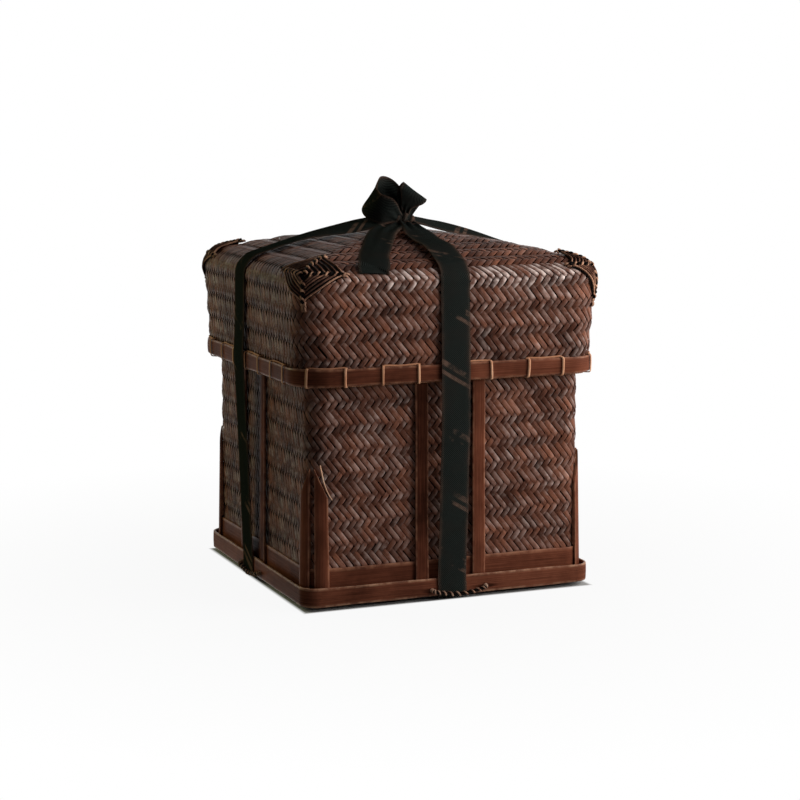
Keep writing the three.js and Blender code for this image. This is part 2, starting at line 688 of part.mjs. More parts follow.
// A bow loop that rises from the knot, swings over and comes back to its side
function bowLoop(degrees, height, reach) {
  const { towards, across } = fromKnot(degrees);
  const knotSlope = Math.acos(((BOW_ROOT - RIBBON_THICK / 2) / KNOT_RADIUS) ** (1 / KNOT_FULLNESS));
  const rootZ = knotZ + (KNOT_HEIGHT / 2) * Math.sin(knotSlope) + GAP;
  const root = new THREE.Vector3(KNOT_X, KNOT_Y, rootZ);
  const at = (out, rise) => root.clone().addScaledVector(towards, out).setZ(rootZ + rise);
  const curve = new THREE.CatmullRomCurve3([
    at(BOW_ROOT, 0),
    at(BOW_ROOT + BOW_LEAN, height / 2),
    at((BOW_ROOT + reach) / 2, height),
    at(reach, height / 2),
    at((BOW_ROOT + reach) / 2, -BOW_DROP),
    at(KNOT_RADIUS + BOW_RETURN, -BOW_DROP),
  ]);
  const path = curve.getPoints(BOW_STEPS);
  const widths = path.map((p, i) => {
    const fromEnd = (3 * Math.min(i, BOW_STEPS - i)) / BOW_STEPS;
    return BOW_GATHER + (RIBBON_WIDTH - BOW_GATHER) * Math.min(fromEnd, 1);
  });
  return band(path, widths, across);
}

// The free end of the ribbon, lying on the lid from the knot to the front edge
function ribbonTail() {
  const { towards, across } = fromKnot(TAIL_ANGLE);
  const start = KNOT_RADIUS + GAP;
  const reach = (domeHalf - TAIL_INSET + KNOT_Y) / Math.abs(towards.y);
  const lidZ = (p) => domeZ(Math.max(Math.abs(p.x), Math.abs(p.y)));
  const path = [];
  for (let i = 0; i <= TAIL_STEPS; i++) {
    const p = towards.clone().multiplyScalar(start + ((reach - start) * i) / TAIL_STEPS);
    p.add(new THREE.Vector3(KNOT_X, KNOT_Y, 0));
    const edges = [-0.5, 0, 0.5].map((share) => p.clone().addScaledVector(across, share * RIBBON_WIDTH));
    path.push(p.setZ(Math.max(...edges.map(lidZ)) + ribbonOut));
  }
  const widths = path.map((p, i) => (i === 0 ? RIBBON_GATHER : RIBBON_WIDTH));
  return band(path, widths, across);
}

// Body
addPiece('body_weave_shell', bodyShell(), weave());
const mouthHoopZ = mouthZ - MOUTH_HOOP_HEIGHT;
const mouthInner = bodyMouthHalf - BODY_WALL - GAP;
const mouthInnerCorner = BODY_CORNER - BODY_WALL - GAP;
const mouthHoop = (half, corner) => hoop(half, corner, MOUTH_HOOP_THICK, mouthHoopZ, MOUTH_HOOP_HEIGHT);
addPiece('body_mouth_outer_hoop', mouthHoop(mouthHoopOuter, mouthHoopCorner), bamboo());
addPiece('body_mouth_inner_hoop', mouthHoop(mouthInner, mouthInnerCorner), bamboo());
const bandHeight = BAND_TOP - BAND_BOTTOM;
addPiece('inner_base_band', hoop(bandOuter, bandCorner, BAND_THICK, BAND_BOTTOM, bandHeight), bamboo());
addPiece('base_hoop', baseHoop(), bamboo());
addPiece('runner_front', runner(), bamboo());
addPiece('runner_back', runner(), bamboo(), 2);

const leftPostRound = { right: RIGHT_LEFT_POST_ROUND };
const rightPostRound = { front: FRONT_RIGHT_POST_ROUND };
faces.forEach((face, k) => {
  const shift = faceShifts[k];
  addPiece(`${face}_slat_left`, faceSlat(-1, shift), bamboo(), k);
  addPiece(`${face}_slat_right`, faceSlat(1, shift), bamboo(), k);
  addPiece(`${face}_corner_post_left`, cornerPost(-1, leftPostRound[face] ?? POST_ROUND), bamboo(), k);
  addPiece(`${face}_corner_post_right`, cornerPost(1, rightPostRound[face] ?? POST_ROUND), bamboo(), k);
  addPiece(`base_cane_loop_${face}`, baseLoop(shift), cane(), k);
  addPiece(`ribbon_side_${face}`, sideRibbon(shift), cloth(), k);
});
addPiece('ribbon_under_front_back', underRibbonFrontBack(), cloth());
addPiece('ribbon_under_left_right', underRibbonRightLeft(), cloth(), 1);

// Lid
addPiece('lid_weave_shell', lidShell(), weave());
const outerRim = hoop(rimOuter, rimOuterCorner, RIM_OUTER_THICK, LID_RIM_Z, RIM_HEIGHT);
addPiece('lid_rim_outer_hoop', outerRim, bamboo());
const innerRimCorner = LID_RIM_CORNER - LID_WALL - GAP;
const innerRim = hoop(rimInner + RIM_INNER_THICK, innerRimCorner, RIM_INNER_THICK, LID_RIM_Z, RIM_HEIGHT);
addPiece('lid_rim_inner_hoop', innerRim, bamboo());
addPiece('lid_rim_lashing', rimLashing(), cane());
const corners = ['front_right', 'back_right', 'back_left', 'front_left'];
const binding = cornerBinding();
corners.forEach((corner, k) => addPiece(`corner_binding_${corner}`, binding, cane(), k));
faces.forEach((face, k) => addPiece(`ribbon_top_${face}`, topRibbon(k, faceShifts[k]), cloth(), k));
addPiece('ribbon_knot', knot(), cloth());
addPiece('bow_loop_front', bowLoop(FRONT_BOW_ANGLE, BOW_HEIGHT, BOW_REACH), cloth());
addPiece('bow_loop_right', bowLoop(RIGHT_BOW_ANGLE, RIGHT_BOW_HEIGHT, RIGHT_BOW_REACH), cloth());
addPiece('ribbon_tail', ribbonTail(), cloth());

export default basket;
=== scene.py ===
"""The looks of a woven bamboo tea set basket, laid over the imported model's frame."""
import math

import bpy
import numpy as np
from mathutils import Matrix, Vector


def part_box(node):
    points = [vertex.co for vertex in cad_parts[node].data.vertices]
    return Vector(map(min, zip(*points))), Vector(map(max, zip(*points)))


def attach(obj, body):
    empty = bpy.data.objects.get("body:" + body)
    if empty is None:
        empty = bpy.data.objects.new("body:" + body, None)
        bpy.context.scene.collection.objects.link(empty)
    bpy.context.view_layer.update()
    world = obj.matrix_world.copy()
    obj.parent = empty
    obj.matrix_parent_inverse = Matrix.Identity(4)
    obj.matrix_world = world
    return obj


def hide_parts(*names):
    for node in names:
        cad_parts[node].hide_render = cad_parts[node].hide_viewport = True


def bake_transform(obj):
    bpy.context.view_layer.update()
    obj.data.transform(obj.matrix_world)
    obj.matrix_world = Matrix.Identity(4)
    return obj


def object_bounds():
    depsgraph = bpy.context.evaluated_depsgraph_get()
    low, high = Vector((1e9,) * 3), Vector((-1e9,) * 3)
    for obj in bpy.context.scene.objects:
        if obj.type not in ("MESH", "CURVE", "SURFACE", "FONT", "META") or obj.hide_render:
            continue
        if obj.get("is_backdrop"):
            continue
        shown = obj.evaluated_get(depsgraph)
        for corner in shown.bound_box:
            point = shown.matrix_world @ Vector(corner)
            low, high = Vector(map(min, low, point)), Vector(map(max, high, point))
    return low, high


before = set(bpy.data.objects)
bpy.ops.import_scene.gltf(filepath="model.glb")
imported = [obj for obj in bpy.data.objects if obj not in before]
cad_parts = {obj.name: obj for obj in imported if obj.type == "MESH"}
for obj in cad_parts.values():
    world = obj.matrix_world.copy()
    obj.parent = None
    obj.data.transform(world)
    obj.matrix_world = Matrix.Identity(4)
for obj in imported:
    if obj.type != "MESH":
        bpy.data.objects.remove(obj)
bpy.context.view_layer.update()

MM = 0.001
FACES = ("front", "right", "back", "left")
random = np.random.default_rng(11)


# Sizes in millimetres, from the frame where its boxes hold them

def span(node):
    """A node's lowest and highest corner."""
    low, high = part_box(node)
    return np.array(low) / MM, np.array(high) / MM


body_low, body_high = span("body_weave_shell")
lid_high = span("lid_weave_shell")[1]
rim_low, rim_high = span("lid_rim_outer_hoop")
rim_in_high = span("lid_rim_inner_hoop")[1]
hoop_low, hoop_high = span("base_hoop")
band_high = span("inner_base_band")[1]
knot_low, knot_high = span("ribbon_knot")

GAP = 0.3
SHELL = 2.4
BODY_TAPER = 0.5
BODY_CORNER = 14
BODY_EDGE = 3
LID_FLARE = 1.4
LID_RIM_CORNER = 24
LID_TOP_CORNER = 17
LID_EDGE = 16
LID_EDGE_Z = 248
LID_DOME = 17
HOOP_THICK = 1.7
HOOP_CORNER = 12
BAND_THICK = 1.4
MOUTH_THICK = 1.2
RIM_THICK = 1.8
RIM_IN_THICK = 1.4
STRIP_THICK = 1.6
POST_CUT = 22
HOLE_PLACES = (-16, 27)
HOLE_RISE = 4.5
HOLE_RADIUS = 1.7
RIBBON_WIDTH = 22.5
RIBBON_THICK = 0.8

lid_half = lid_high[0]
rim_half = rim_high[0]
rim_corner = LID_RIM_CORNER + rim_half - (lid_half - LID_FLARE)
hoop_half = hoop_high[0]
band_half = band_high[0]
body_half = body_high[0]
mouth_z = body_high[2]
floor_z = body_low[2]
foot_z = floor_z + BODY_EDGE
slat_inner = band_half + GAP
edge_half = lid_half - LID_EDGE
edge_z = LID_EDGE_Z - LID_EDGE
dome_angle = math.atan(2 * LID_DOME / edge_half)
edge_sweep = math.pi / 2 - dome_angle
dome_half = edge_half + LID_EDGE * math.cos(edge_sweep)
dome_foot = edge_z + LID_EDGE * math.sin(edge_sweep)
dome_corner = LID_TOP_CORNER - (lid_half - dome_half)
dome_length = dome_half * (1 + 2 / 3 * (LID_DOME / dome_half) ** 2)
arc_length = LID_EDGE * edge_sweep
flare_length = math.hypot(edge_z - rim_high[2], LID_FLARE)
lid_length = dome_length + arc_length + flare_length + rim_high[2] - rim_low[2]


# Meshes

SHARP_ANGLE = math.radians(50)
CORNER_SIGNS = ((1, 1), (-1, 1), (-1, -1), (1, -1))


class Mesh:
    """Points and faces of one piece, with a strip coordinate for each face corner."""

    def __init__(self):
        self.points = []
        self.faces = []
        self.corners = []
        self.cells = []
        self.tones = []
        self.wears_and_sheens = []
        self.count = 0

    def add(self, points, faces, corners, tone=0.5, wear_and_sheen=0.0, cells=None):
        points = np.reshape(points, (-1, 3))
        self.points.append(points)
        self.faces.extend([[index + self.count for index in face] for face in faces])
        self.corners.append(np.reshape(corners, (-1, 2)))
        self.cells.append(np.reshape(corners if cells is None else cells, (-1, 2)))
        self.tones.append(np.broadcast_to(tone, len(points)))
        self.wears_and_sheens.append(np.broadcast_to(wear_and_sheen, len(points)))
        self.count += len(points)

    def whole(self):
        """All of the mesh, in the order that add takes it."""
        points, corners, cells = (np.vstack(rows) for rows in (self.points, self.corners, self.cells))
        return points, self.faces, corners, np.hstack(self.tones), np.hstack(self.wears_and_sheens), cells

    def turned(self, quarters):
        """The same mesh, turned about the upright axis."""
        angle = quarters * math.pi / 2
        turn = np.array([
            [math.cos(angle), -math.sin(angle), 0],
            [math.sin(angle), math.cos(angle), 0],
            [0, 0, 1],
        ])
        points, *rest = self.whole()
        other = Mesh()
        other.add(points @ turn.T, *rest)
        return other


def add_object(name, data):
    thing = bpy.data.objects.new(name, data)
    bpy.context.scene.collection.objects.link(thing)
    return thing


def mesh_data(name, mesh):
    data = bpy.data.meshes.new(name)
    data.from_pydata((np.vstack(mesh.points) * MM).tolist(), [], mesh.faces)
    return data


def place(name, mesh, material, body, nodes=(), bake_map=False):
    """An object from a mesh, riding on a body and standing for nodes."""
    data = mesh_data(name, mesh)
    layer = data.uv_layers.new(name="strip")
    layer.data.foreach_set("uv", np.vstack(mesh.corners).ravel())
    if bake_map:
        layer = data.uv_layers.new(name="OFBake")
        layer.data.foreach_set("uv", np.vstack(mesh.cells).ravel())
    # The second mark is real wear on most pieces, and painted sheen and highlights on the woven strips and on
    # the knot's fold crests.
    for label, values in (("tone", mesh.tones), ("wear_and_sheen", mesh.wears_and_sheens)):
        attribute = data.attributes.new(label, "FLOAT", "POINT")
        attribute.data.foreach_set("value", np.hstack(values))
    data.shade_smooth()
    data.set_sharp_from_angle(angle=SHARP_ANGLE)
    data.materials.append(material)
    thing = add_object(name, data)
    if nodes:
        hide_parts(*nodes)
    if body:
        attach(thing, body)
    return thing


def unit(vectors):
    return vectors / np.maximum(np.linalg.norm(vectors, axis=-1, keepdims=True), 1e-9)


def smooth_path(points, steps):
    """A smooth line through points."""
    points = np.asarray(points, float)
    ends = np.vstack([2 * points[0] - points[1], points, 2 * points[-1] - points[-2]])
    t = np.linspace(0, 1, steps, endpoint=False)[:, None]
    runs = []
    for a, b, c, d in zip(ends[:-3], ends[1:-2], ends[2:-1], ends[3:]):
        bend = (2 * a - 5 * b + 4 * c - d) * t ** 2 + (3 * b - a - 3 * c + d) * t ** 3
        runs.append(0.5 * (2 * b + (c - a) * t + bend))
    return np.vstack(runs + [points[-1:]])


def directions(path, closed=False):
    if closed:
        return unit(np.roll(path, -1, 0) - np.roll(path, 1, 0))
    return unit(np.gradient(path, axis=0))


def carried(path, first):
    """Side directions along a path, carried without twist."""
    sides = []
    side = np.asarray(first, float)
    for ahead in directions(path):
        side = unit(side - ahead * np.dot(side, ahead))
        sides.append(side)
    return np.array(sides)


def sweep(mesh, path, sections, sides, closed=False, tone=0.5, wear_and_sheen=0.0, start=0.0):
    """Sections along a path; their first axis lies along sides, their second across both."""
    path = np.asarray(path, float)
    count = len(path)
    sections = np.broadcast_to(sections, (count,) + np.shape(sections)[-2:])
    around = sections.shape[1]
    ahead = directions(path, closed)
    first = np.broadcast_to(sides, (count, 3))
    first = unit(first - ahead * np.sum(first * ahead, 1, keepdims=True))
    second = np.cross(ahead, first)
    points = path[:, None] + first[:, None] * sections[..., :1] + second[:, None] * sections[..., 1:]
    rows = count if closed else count - 1
    i, j = np.meshgrid(np.arange(rows), np.arange(around), indexing="ij")
    after_i, after_j = (i + 1) % count, (j + 1) % around
    here, ahead_row = i * around, after_i * around
    faces = np.stack([here + j, here + after_j, ahead_row + after_j, ahead_row + j], -1)
    lengths = np.linalg.norm(np.roll(path, -1, 0) - path, axis=1)
    along = start + np.concatenate([[0], np.cumsum(lengths)])
    middle = sections[count // 2]
    edges = np.linalg.norm(np.roll(middle, -1, 0) - middle, axis=1)
    across = np.concatenate([[0], np.cumsum(edges)])
    corners = np.stack([
        np.stack([along[i], across[j]], -1), np.stack([along[i], across[j + 1]], -1),
        np.stack([along[i + 1], across[j + 1]], -1), np.stack([along[i + 1], across[j]], -1),
    ], -2)
    faces = faces.reshape(-1, 4).tolist()
    corners = corners.reshape(-1, 2)
    if not closed:
        first_cap = list(range(around))[::-1]
        last_cap = [(count - 1) * around + k for k in range(around)]
        faces = faces + [first_cap, last_cap]
        corners = np.vstack([corners, sections[0][::-1], sections[-1]])
    tones = tone if np.ndim(tone) == 0 else np.repeat(tone, around)
    mesh.add(points, faces, corners, tones, np.broadcast_to(wear_and_sheen, (count, around)).ravel())


def swept(*run):
    """A mesh of one sweep."""
    mesh = Mesh()
    sweep(mesh, *run)
    return mesh


def ring_quads(rings, count):
    """Quads between rings that have as many points each."""
    i, j = np.meshgrid(np.arange(rings - 1) * count, np.arange(count), indexing="ij")
    k = (j + 1) % count
    return np.stack([i + j, i + k, i + count + k, i + count + j], -1).reshape(-1, 4).tolist()


def oval(width, height, sides=8):
    angles = np.arange(sides) * 2 * math.pi / sides
    return np.stack([np.cos(angles) * width / 2, np.sin(angles) * height / 2], -1)


def rounded(width, height, radius, flats=6, steps=2):
    """A rounded rectangle about the middle, and a mark of 1 on its rounded corners."""
    def on_corner(k, quarters):
        signs = np.array(CORNER_SIGNS[k % 4])
        angle = quarters * math.pi / 2
        centre = signs * (np.array([width, height]) / 2 - radius)
        return centre + radius * np.array([math.cos(angle), math.sin(angle)])

    points, marks = [], []
    for k in range(4):
        for i in range(steps + 1):
            points.append(on_corner(k, k + i / steps))
            marks.append(1.0)
        end = on_corner(k + 1, k + 1)
        long_side = (height if k % 2 else width) - 2 * radius
        pieces = flats if long_side > 4 * radius else 1
        for i in range(1, pieces):
            points.append(points[-1] + (end - points[-1]) / (pieces - i + 1))
            marks.append(0.0)
    return np.array(points), np.array(marks)


# Surfaces

DOME_SQUARENESS = 24


def on_ring(quarters, half, corner):
    """Plan points and outward directions on a rounded square, counted in quarters from the front's middle."""
    side = np.round(quarters)
    straight = half - corner
    share = quarters - side
    reach = np.abs(share) * 2 * (straight + corner * math.pi / 4)
    turn = np.clip((reach - straight) / np.maximum(corner, 1e-6), 0, math.pi / 4)
    along = np.sign(share) * np.where(reach < straight, reach, straight + corner * np.sin(turn))
    out = straight + corner * np.cos(turn)
    lean = np.sign(share) * np.sin(turn)
    face = np.cos(turn)
    cos, sin = np.cos(side * math.pi / 2), np.sin(side * math.pi / 2)
    plan = np.stack([along * cos + out * sin, along * sin - out * cos], -1)
    outward = np.stack([lean * cos + face * sin, lean * sin - face * cos], -1)
    return plan, outward


def lid_surface(quarters, reach, lift):
    """Points over the lid, at a length along its profile from the middle of the top."""
    share = np.abs(quarters - np.round(quarters)) * 2
    dome = np.clip(reach / dome_length, 0, 1)
    round_dome = np.clip(dome * (1 + share ** DOME_SQUARENESS) ** (1 / DOME_SQUARENESS), 0, 1)
    turn = edge_sweep - np.clip((reach - dome_length) / LID_EDGE, 0, edge_sweep)
    fall = np.clip((reach - dome_length - arc_length) / flare_length, 0, 1)
    below = np.maximum(reach - dome_length - arc_length - flare_length, 0)
    away = LID_EDGE * (1 - np.cos(turn))
    on_dome = dome < 1
    half = np.where(on_dome, dome_half * dome, lid_half - away) - LID_FLARE * fall
    corner = np.where(on_dome, dome_corner * dome, LID_TOP_CORNER - away)
    corner = corner + (LID_RIM_CORNER - LID_TOP_CORNER) * fall
    domed = dome_foot + LID_DOME * (1 - round_dome ** 2)
    z = np.where(on_dome, domed, edge_z + LID_EDGE * np.sin(turn))
    z = z - fall * (edge_z - rim_high[2]) - below
    slope = np.arctan(2 * LID_DOME * round_dome / dome_half)
    tilt = np.where(on_dome, math.pi / 2 - slope, turn)
    plan, outward = on_ring(quarters, half, corner)
    plan = plan + outward * (lift * np.cos(tilt))[..., None]
    return np.concatenate([plan, (z + lift * np.sin(tilt))[..., None]], -1)


def body_surface(quarters, height, lift):
    """Points over the body's walls at a height."""
    half = body_half - BODY_TAPER * (height - foot_z) / (mouth_z - foot_z)
    plan, outward = on_ring(quarters, half, BODY_CORNER + 0 * half)
    plan = plan + outward * lift[..., None]
    return np.concatenate([plan, (height + 0 * lift)[..., None]], -1)


def floor_surface(quarters, reach, lift):
    """Points over the body's floor, seen from below."""
    corner = (BODY_CORNER - BODY_EDGE) * reach / (body_half - BODY_EDGE)
    plan = on_ring(quarters, reach, corner)[0]
    return np.concatenate([plan, (floor_z - lift)[..., None]], -1)


# Weave: in rows of chevrons, on the walls over three strips and under two

LID_COUNT = 39
BODY_COUNT = 38
SEAM_REACH = 114.2
SEAM_STEPS = 19.25
TOP_PHASE = 0.5
LID_ROW = 7.2
BODY_ROW = 7.0
BODY_SEAM = 127
ROW_PAIR = 2.5
OVER_LEVEL = 0.25
UNDER_LEVEL = -0.9
CROWN = 0.3
BELLY = 0.1
EDGE_DROP = 0.14
END_TAPER = 0.32
BODY_RELIEF = 0.65
RIB = 0.55
STRIP_FILL = 0.9
LONG_RUN = 3
SHORT_RUN = 2
FINE_KNOTS = (0.5, 0.12, -0.2, -0.6)
FINE_ACROSS = (-0.5, -0.38, 0, 0.38, 0.5)
COARSE_KNOTS = (0.5, -0.3)
COARSE_ACROSS = (-0.5, 0, 0.5)
STRIP_WIDTHS = (0.9, 1.05)
STRIP_SLIP = 0.025
STRIP_TWIST = 0.012
STRIP_UNEVEN = 0.05
# How the painted highlight spreads across a strip, most on the side towards the light.
LIT_SIDE_MIDDLE = 0.6
LIT_SIDE_LEAST = 0.25
POLISH_AND_SHEEN_LEAST = 0.25
TONE_SPREAD = 0.11
TONE_COUNT = 4096
FALLING_IDS = 1000
BODY_IDS = 300
SQUARE_IDS = 2000
RISING_SQUARE_IDS = 700
EDGE_KEPT = 0.4
# Strengths of the pale mark on the strips, partly rubbing and partly painted sheen; the edge strength adds a
# painted glint along the lid's upper edge.
WALL_POLISH_AND_SHEEN = 0.65
EDGE_WEAR_AND_GLINT = 2.6
TOP_POLISH_AND_SHEEN = 0.25
# Tone shifts that paint light: rising strips darker and falling strips lighter, as rows tilted away from and
# towards the light would show.
RISING_PAINTED_SHADE = -0.1
FALLING_PAINTED_LIGHT = 0.04
FLOOR_STEPS = 19.25
GLINT_QUARTER = 0.4
GLINT_DEPTH = 1.5
CELL_START = 0.06
CELL_LENGTH = 0.88
CELL_WIDTH = 0.84


def smooth_step(value):
    value = np.clip(value, 0, 1)
    return value * value * (3 - 2 * value)


def wall_rib(u, v):
    """The bulge of a row of chevrons, highest along its points."""
    return np.cos((v + LONG_RUN / 2) * 2 * math.pi / ROW_PAIR)


def square_rib(u, v):
    return np.cos((np.maximum(np.abs(u), np.abs(v)) + 0.75 - TOP_PHASE) * 2 * math.pi / 3)


def weave_floats(u, v, runs, rising, tones, step, surface, rib, relief=1.0, shine=1.0, coarse=False,
                 inside=False):
    """Floats of strips over a lattice, as a mesh; runs in strip widths, step in millimetres."""
    count = len(u)
    half = runs[:, None] / 2
    sign = 1 if rising else -1
    w = np.array(COARSE_ACROSS if coarse else FINE_ACROSS)
    reach = np.concatenate([half + knot for knot in (COARSE_KNOTS if coarse else FINE_KNOTS)], 1)
    s = np.concatenate([-reach, np.zeros((count, 1)), reach[:, ::-1]], 1)
    width = STRIP_FILL * random.uniform(*STRIP_WIDTHS, count)
    shift = random.normal(0, STRIP_SLIP, (2, count))[..., None, None]
    twist = random.normal(0, STRIP_TWIST, count)[:, None, None]
    raise_by = random.normal(0, STRIP_UNEVEN, count)
    along = s / (half + 0.5)
    over = smooth_step(half + 0.5 - np.abs(s))
    crown = relief * CROWN * (1 - along ** 2)
    lift = UNDER_LEVEL + (OVER_LEVEL - UNDER_LEVEL) * over + crown + raise_by[:, None]
    drop = BELLY * (2 * w) ** 2 + EDGE_DROP * np.abs(2 * w) ** 6
    lift = lift[:, :, None] - drop * (0.4 + 0.6 * over[:, :, None])
    s_all = s[:, :, None] + 0 * w + shift[0]
    taper = 1 - END_TAPER * np.abs(along) ** 4
    w_all = w * (width[:, None] * taper)[:, :, None] + shift[1] + twist * s[:, :, None]
    u_all = u[:, None, None] + (s_all - sign * w_all) / 2
    v_all = v[:, None, None] + (sign * s_all + w_all) / 2
    points = surface(u_all, v_all, -SHELL - lift if inside else lift + relief * RIB * rib(u_all, v_all))
    rows, columns = s.shape[1], len(w)
    base = np.arange(rows * columns).reshape(rows, columns)
    order = [base[:-1, :-1], base[1:, :-1], base[1:, 1:], base[:-1, 1:]]
    quads = np.stack(order[::-1] if inside else order, -1).reshape(-1, 4)
    faces = (quads[None] + (np.arange(count) * rows * columns)[:, None, None]).reshape(-1, 4)
    pitch = step / math.sqrt(2)
    offset = random.uniform(0, 400, count)[:, None, None]
    strip = np.stack([s_all * pitch + offset, w_all * pitch + 7 * offset], -1).reshape(-1, 2)
    # Paler on each float's crest, which is rubbing, and on the strip's side towards the light, which is a
    # painted highlight.
    lit_side = np.clip(LIT_SIDE_MIDDLE - sign * w, LIT_SIDE_LEAST, 1)
    polish_and_sheen = (over * (0.7 + 0.3 * along))[:, :, None] * lit_side
    polish_and_sheen = polish_and_sheen * (shine * random.uniform(POLISH_AND_SHEEN_LEAST, 1.0, count))[:, None, None]
    cells = bake_cells(s, s_all, w)
    mesh = Mesh()
    tone = np.repeat(tones, rows * columns)
    mesh.add(points, faces.tolist(), strip[faces.ravel()], tone, polish_and_sheen.ravel(), cells[faces.ravel()])
    return mesh


def bake_cells(s, s_all, w):
    """Places of the floats' points on the bake map, with a cell for each float."""
    count = len(s)
    per_row = math.ceil(math.sqrt(count / 3))
    number = np.arange(count)[:, None, None]
    share = (s_all - s[:, :1, None]) / (s[:, -1:, None] - s[:, :1, None])
    cell_u = (number % per_row + CELL_START + CELL_LENGTH * share) / per_row
    cell_v = (number // per_row + 0.5 + CELL_WIDTH * w + 0 * share) / math.ceil(count / per_row)
    return np.clip(np.stack([cell_u, cell_v], -1), 0, 1).reshape(-1, 2)


def strip_tones(ids):
    """One tone for each strip, steady along it."""
    tones = np.clip(np.random.default_rng(5).normal(0.5, TONE_SPREAD, TONE_COUNT), 0, 1)
    return tones[np.mod(np.round(ids).astype(int), TONE_COUNT)]


def wall_rows(per_quarter, top, bottom, rising, inside):
    """Lattice places of the floats of one direction, in rows between two heights in strip spacings."""
    over_two = rising != inside
    first = LONG_RUN / 2 + SHORT_RUN / 4 if over_two else LONG_RUN / 4
    aside = (0.75 if rising else 0.25) if over_two else 0
    u, v = [], []
    for pair in range(math.ceil((top - bottom) / ROW_PAIR) + 2):
        middle = -first - ROW_PAIR * pair
        if bottom < middle < top:
            columns = np.arange(4 * per_quarter) + 0.5 + 0.5 * pair + aside
            u.append(columns)
            v.append(np.full(len(columns), middle))
    return np.hstack(u), np.hstack(v), SHORT_RUN if over_two else LONG_RUN


def square_floats(limit):
    """Lattice places and runs of the floats of a square woven in concentric rows."""
    found = []
    top = int(2 * limit) + 2
    for rising in (False, True):
        for strip in range(-top, top + 1):
            run = []
            for step in range(-top, top + 2):
                i, j = (step, strip) if rising else (strip, step)
                x, y = (i + j) / 2, (i - j) / 2
                reach = max(abs(x), abs(y))
                falling_over = 0.75 <= (TOP_PHASE - reach) % 3 < 2.25
                if abs(x) > abs(y):
                    falling_over = not falling_over
                if reach < limit and falling_over != rising:
                    run.append((x, y))
                elif run:
                    middle = np.mean(run, axis=0)
                    found.append((middle[0], middle[1], len(run), rising, strip))
                    run = []
    found = np.array(found)
    return found[:, 0], found[:, 1], found[:, 2], found[:, 3] > 0.5, found[:, 4]


def to_quarters(x, y):
    """Quarters round and distance of a place on a square seen from above."""
    reach = np.maximum(np.abs(x), np.abs(y))
    safe = np.maximum(reach, 1e-6)
    share = np.where(
        np.abs(y) >= np.abs(x),
        np.where(y < 0, x / safe / 2, 2 - x / safe / 2),
        np.where(x > 0, 1 + y / safe / 2, 3 - y / safe / 2),
    )
    return share, reach


def join(meshes):
    whole = Mesh()
    for mesh in meshes:
        whole.add(*mesh.whole())
    return whole


def stacked_cells(meshes):
    """Meshes joined, each with its own share of the bake map's square."""
    for k, mesh in enumerate(meshes):
        cells = np.vstack(mesh.cells)
        mesh.cells = [np.stack([cells[:, 0], (cells[:, 1] + k) / len(meshes)], -1)]
    return join(meshes)


def lid_wall(u, v, lift):
    reach = np.minimum(SEAM_REACH - v * LID_ROW, lid_length - EDGE_KEPT)
    return lid_surface(u / LID_COUNT, reach, lift)


def lid_top(u, v, lift):
    quarters, reach = to_quarters(u, v)
    return lid_surface(quarters, reach * SEAM_REACH / SEAM_STEPS, lift)


def body_wall(u, v, lift):
    height = np.clip(body_seam + v * BODY_ROW, foot_z, mouth_z - EDGE_KEPT)
    return body_surface(u / BODY_COUNT, height, lift)


def body_floor(u, v, lift):
    quarters, reach = to_quarters(-u, v)
    return floor_surface(quarters, reach * body_step, lift)


body_step = (2 * (body_half - BODY_CORNER) + BODY_CORNER * math.pi / 2) / BODY_COUNT
lid_step = (2 * (lid_half - LID_TOP_CORNER) + LID_TOP_CORNER * math.pi / 2) / LID_COUNT
body_pair = ROW_PAIR * BODY_ROW
body_seam = BODY_SEAM + body_pair * math.ceil((mouth_z - BODY_SEAM) / body_pair)


def wall_weave(per_quarter, top, bottom, rising, inside, first_id, polish_and_sheen, **looks):
    """Strips of one direction on the walls."""
    u, v, run = wall_rows(per_quarter, top, bottom, rising, inside)
    tones = strip_tones((u - v if rising else u + v + FALLING_IDS) + first_id)
    # Painted shade on the rising strips and painted light on the falling ones.
    tones = tones + (RISING_PAINTED_SHADE if rising else FALLING_PAINTED_LIGHT)
    runs = np.full(len(u), run)
    return weave_floats(u, v, runs, rising, tones, rib=wall_rib, shine=polish_and_sheen(u, v), coarse=inside,
                        inside=inside, **looks)


def square_weave(limit, rising, inside, **looks):
    """Strips of one direction on the lid's top or the body's floor."""
    u, v, runs, up, ids = square_floats(limit)
    keep = up == (rising != inside)
    tones = strip_tones(ids[keep] + SQUARE_IDS + RISING_SQUARE_IDS * rising)
    return weave_floats(u[keep], v[keep], runs[keep], rising, tones, rib=square_rib, inside=inside, **looks)


def lid_polish_and_glint(u, v):
    """Rubbing and painted sheen on the lid's walls, with a painted glint along the upper edge towards the
    right of the front, where the light falls.
    """
    lit_share = np.maximum(np.cos((u / LID_COUNT - GLINT_QUARTER) * math.pi / 2), 0)
    return WALL_POLISH_AND_SHEEN + EDGE_WEAR_AND_GLINT * lit_share * np.exp(-((v + 1) / GLINT_DEPTH) ** 2)


def body_polish_and_sheen(u, v):
    return WALL_POLISH_AND_SHEEN


def lid_weave(rising, inside):
    """The lid's strips of one direction, on the walls and the top."""
    bottom = (SEAM_REACH - lid_length) / LID_ROW + 0.3
    walls = wall_weave(LID_COUNT, 0, bottom, rising, inside, 0, lid_polish_and_glint, step=lid_step, surface=lid_wall)
    top = square_weave(SEAM_STEPS, rising, inside, step=lid_step, surface=lid_top, shine=TOP_POLISH_AND_SHEEN,
                       coarse=inside)
    return stacked_cells([walls, top])


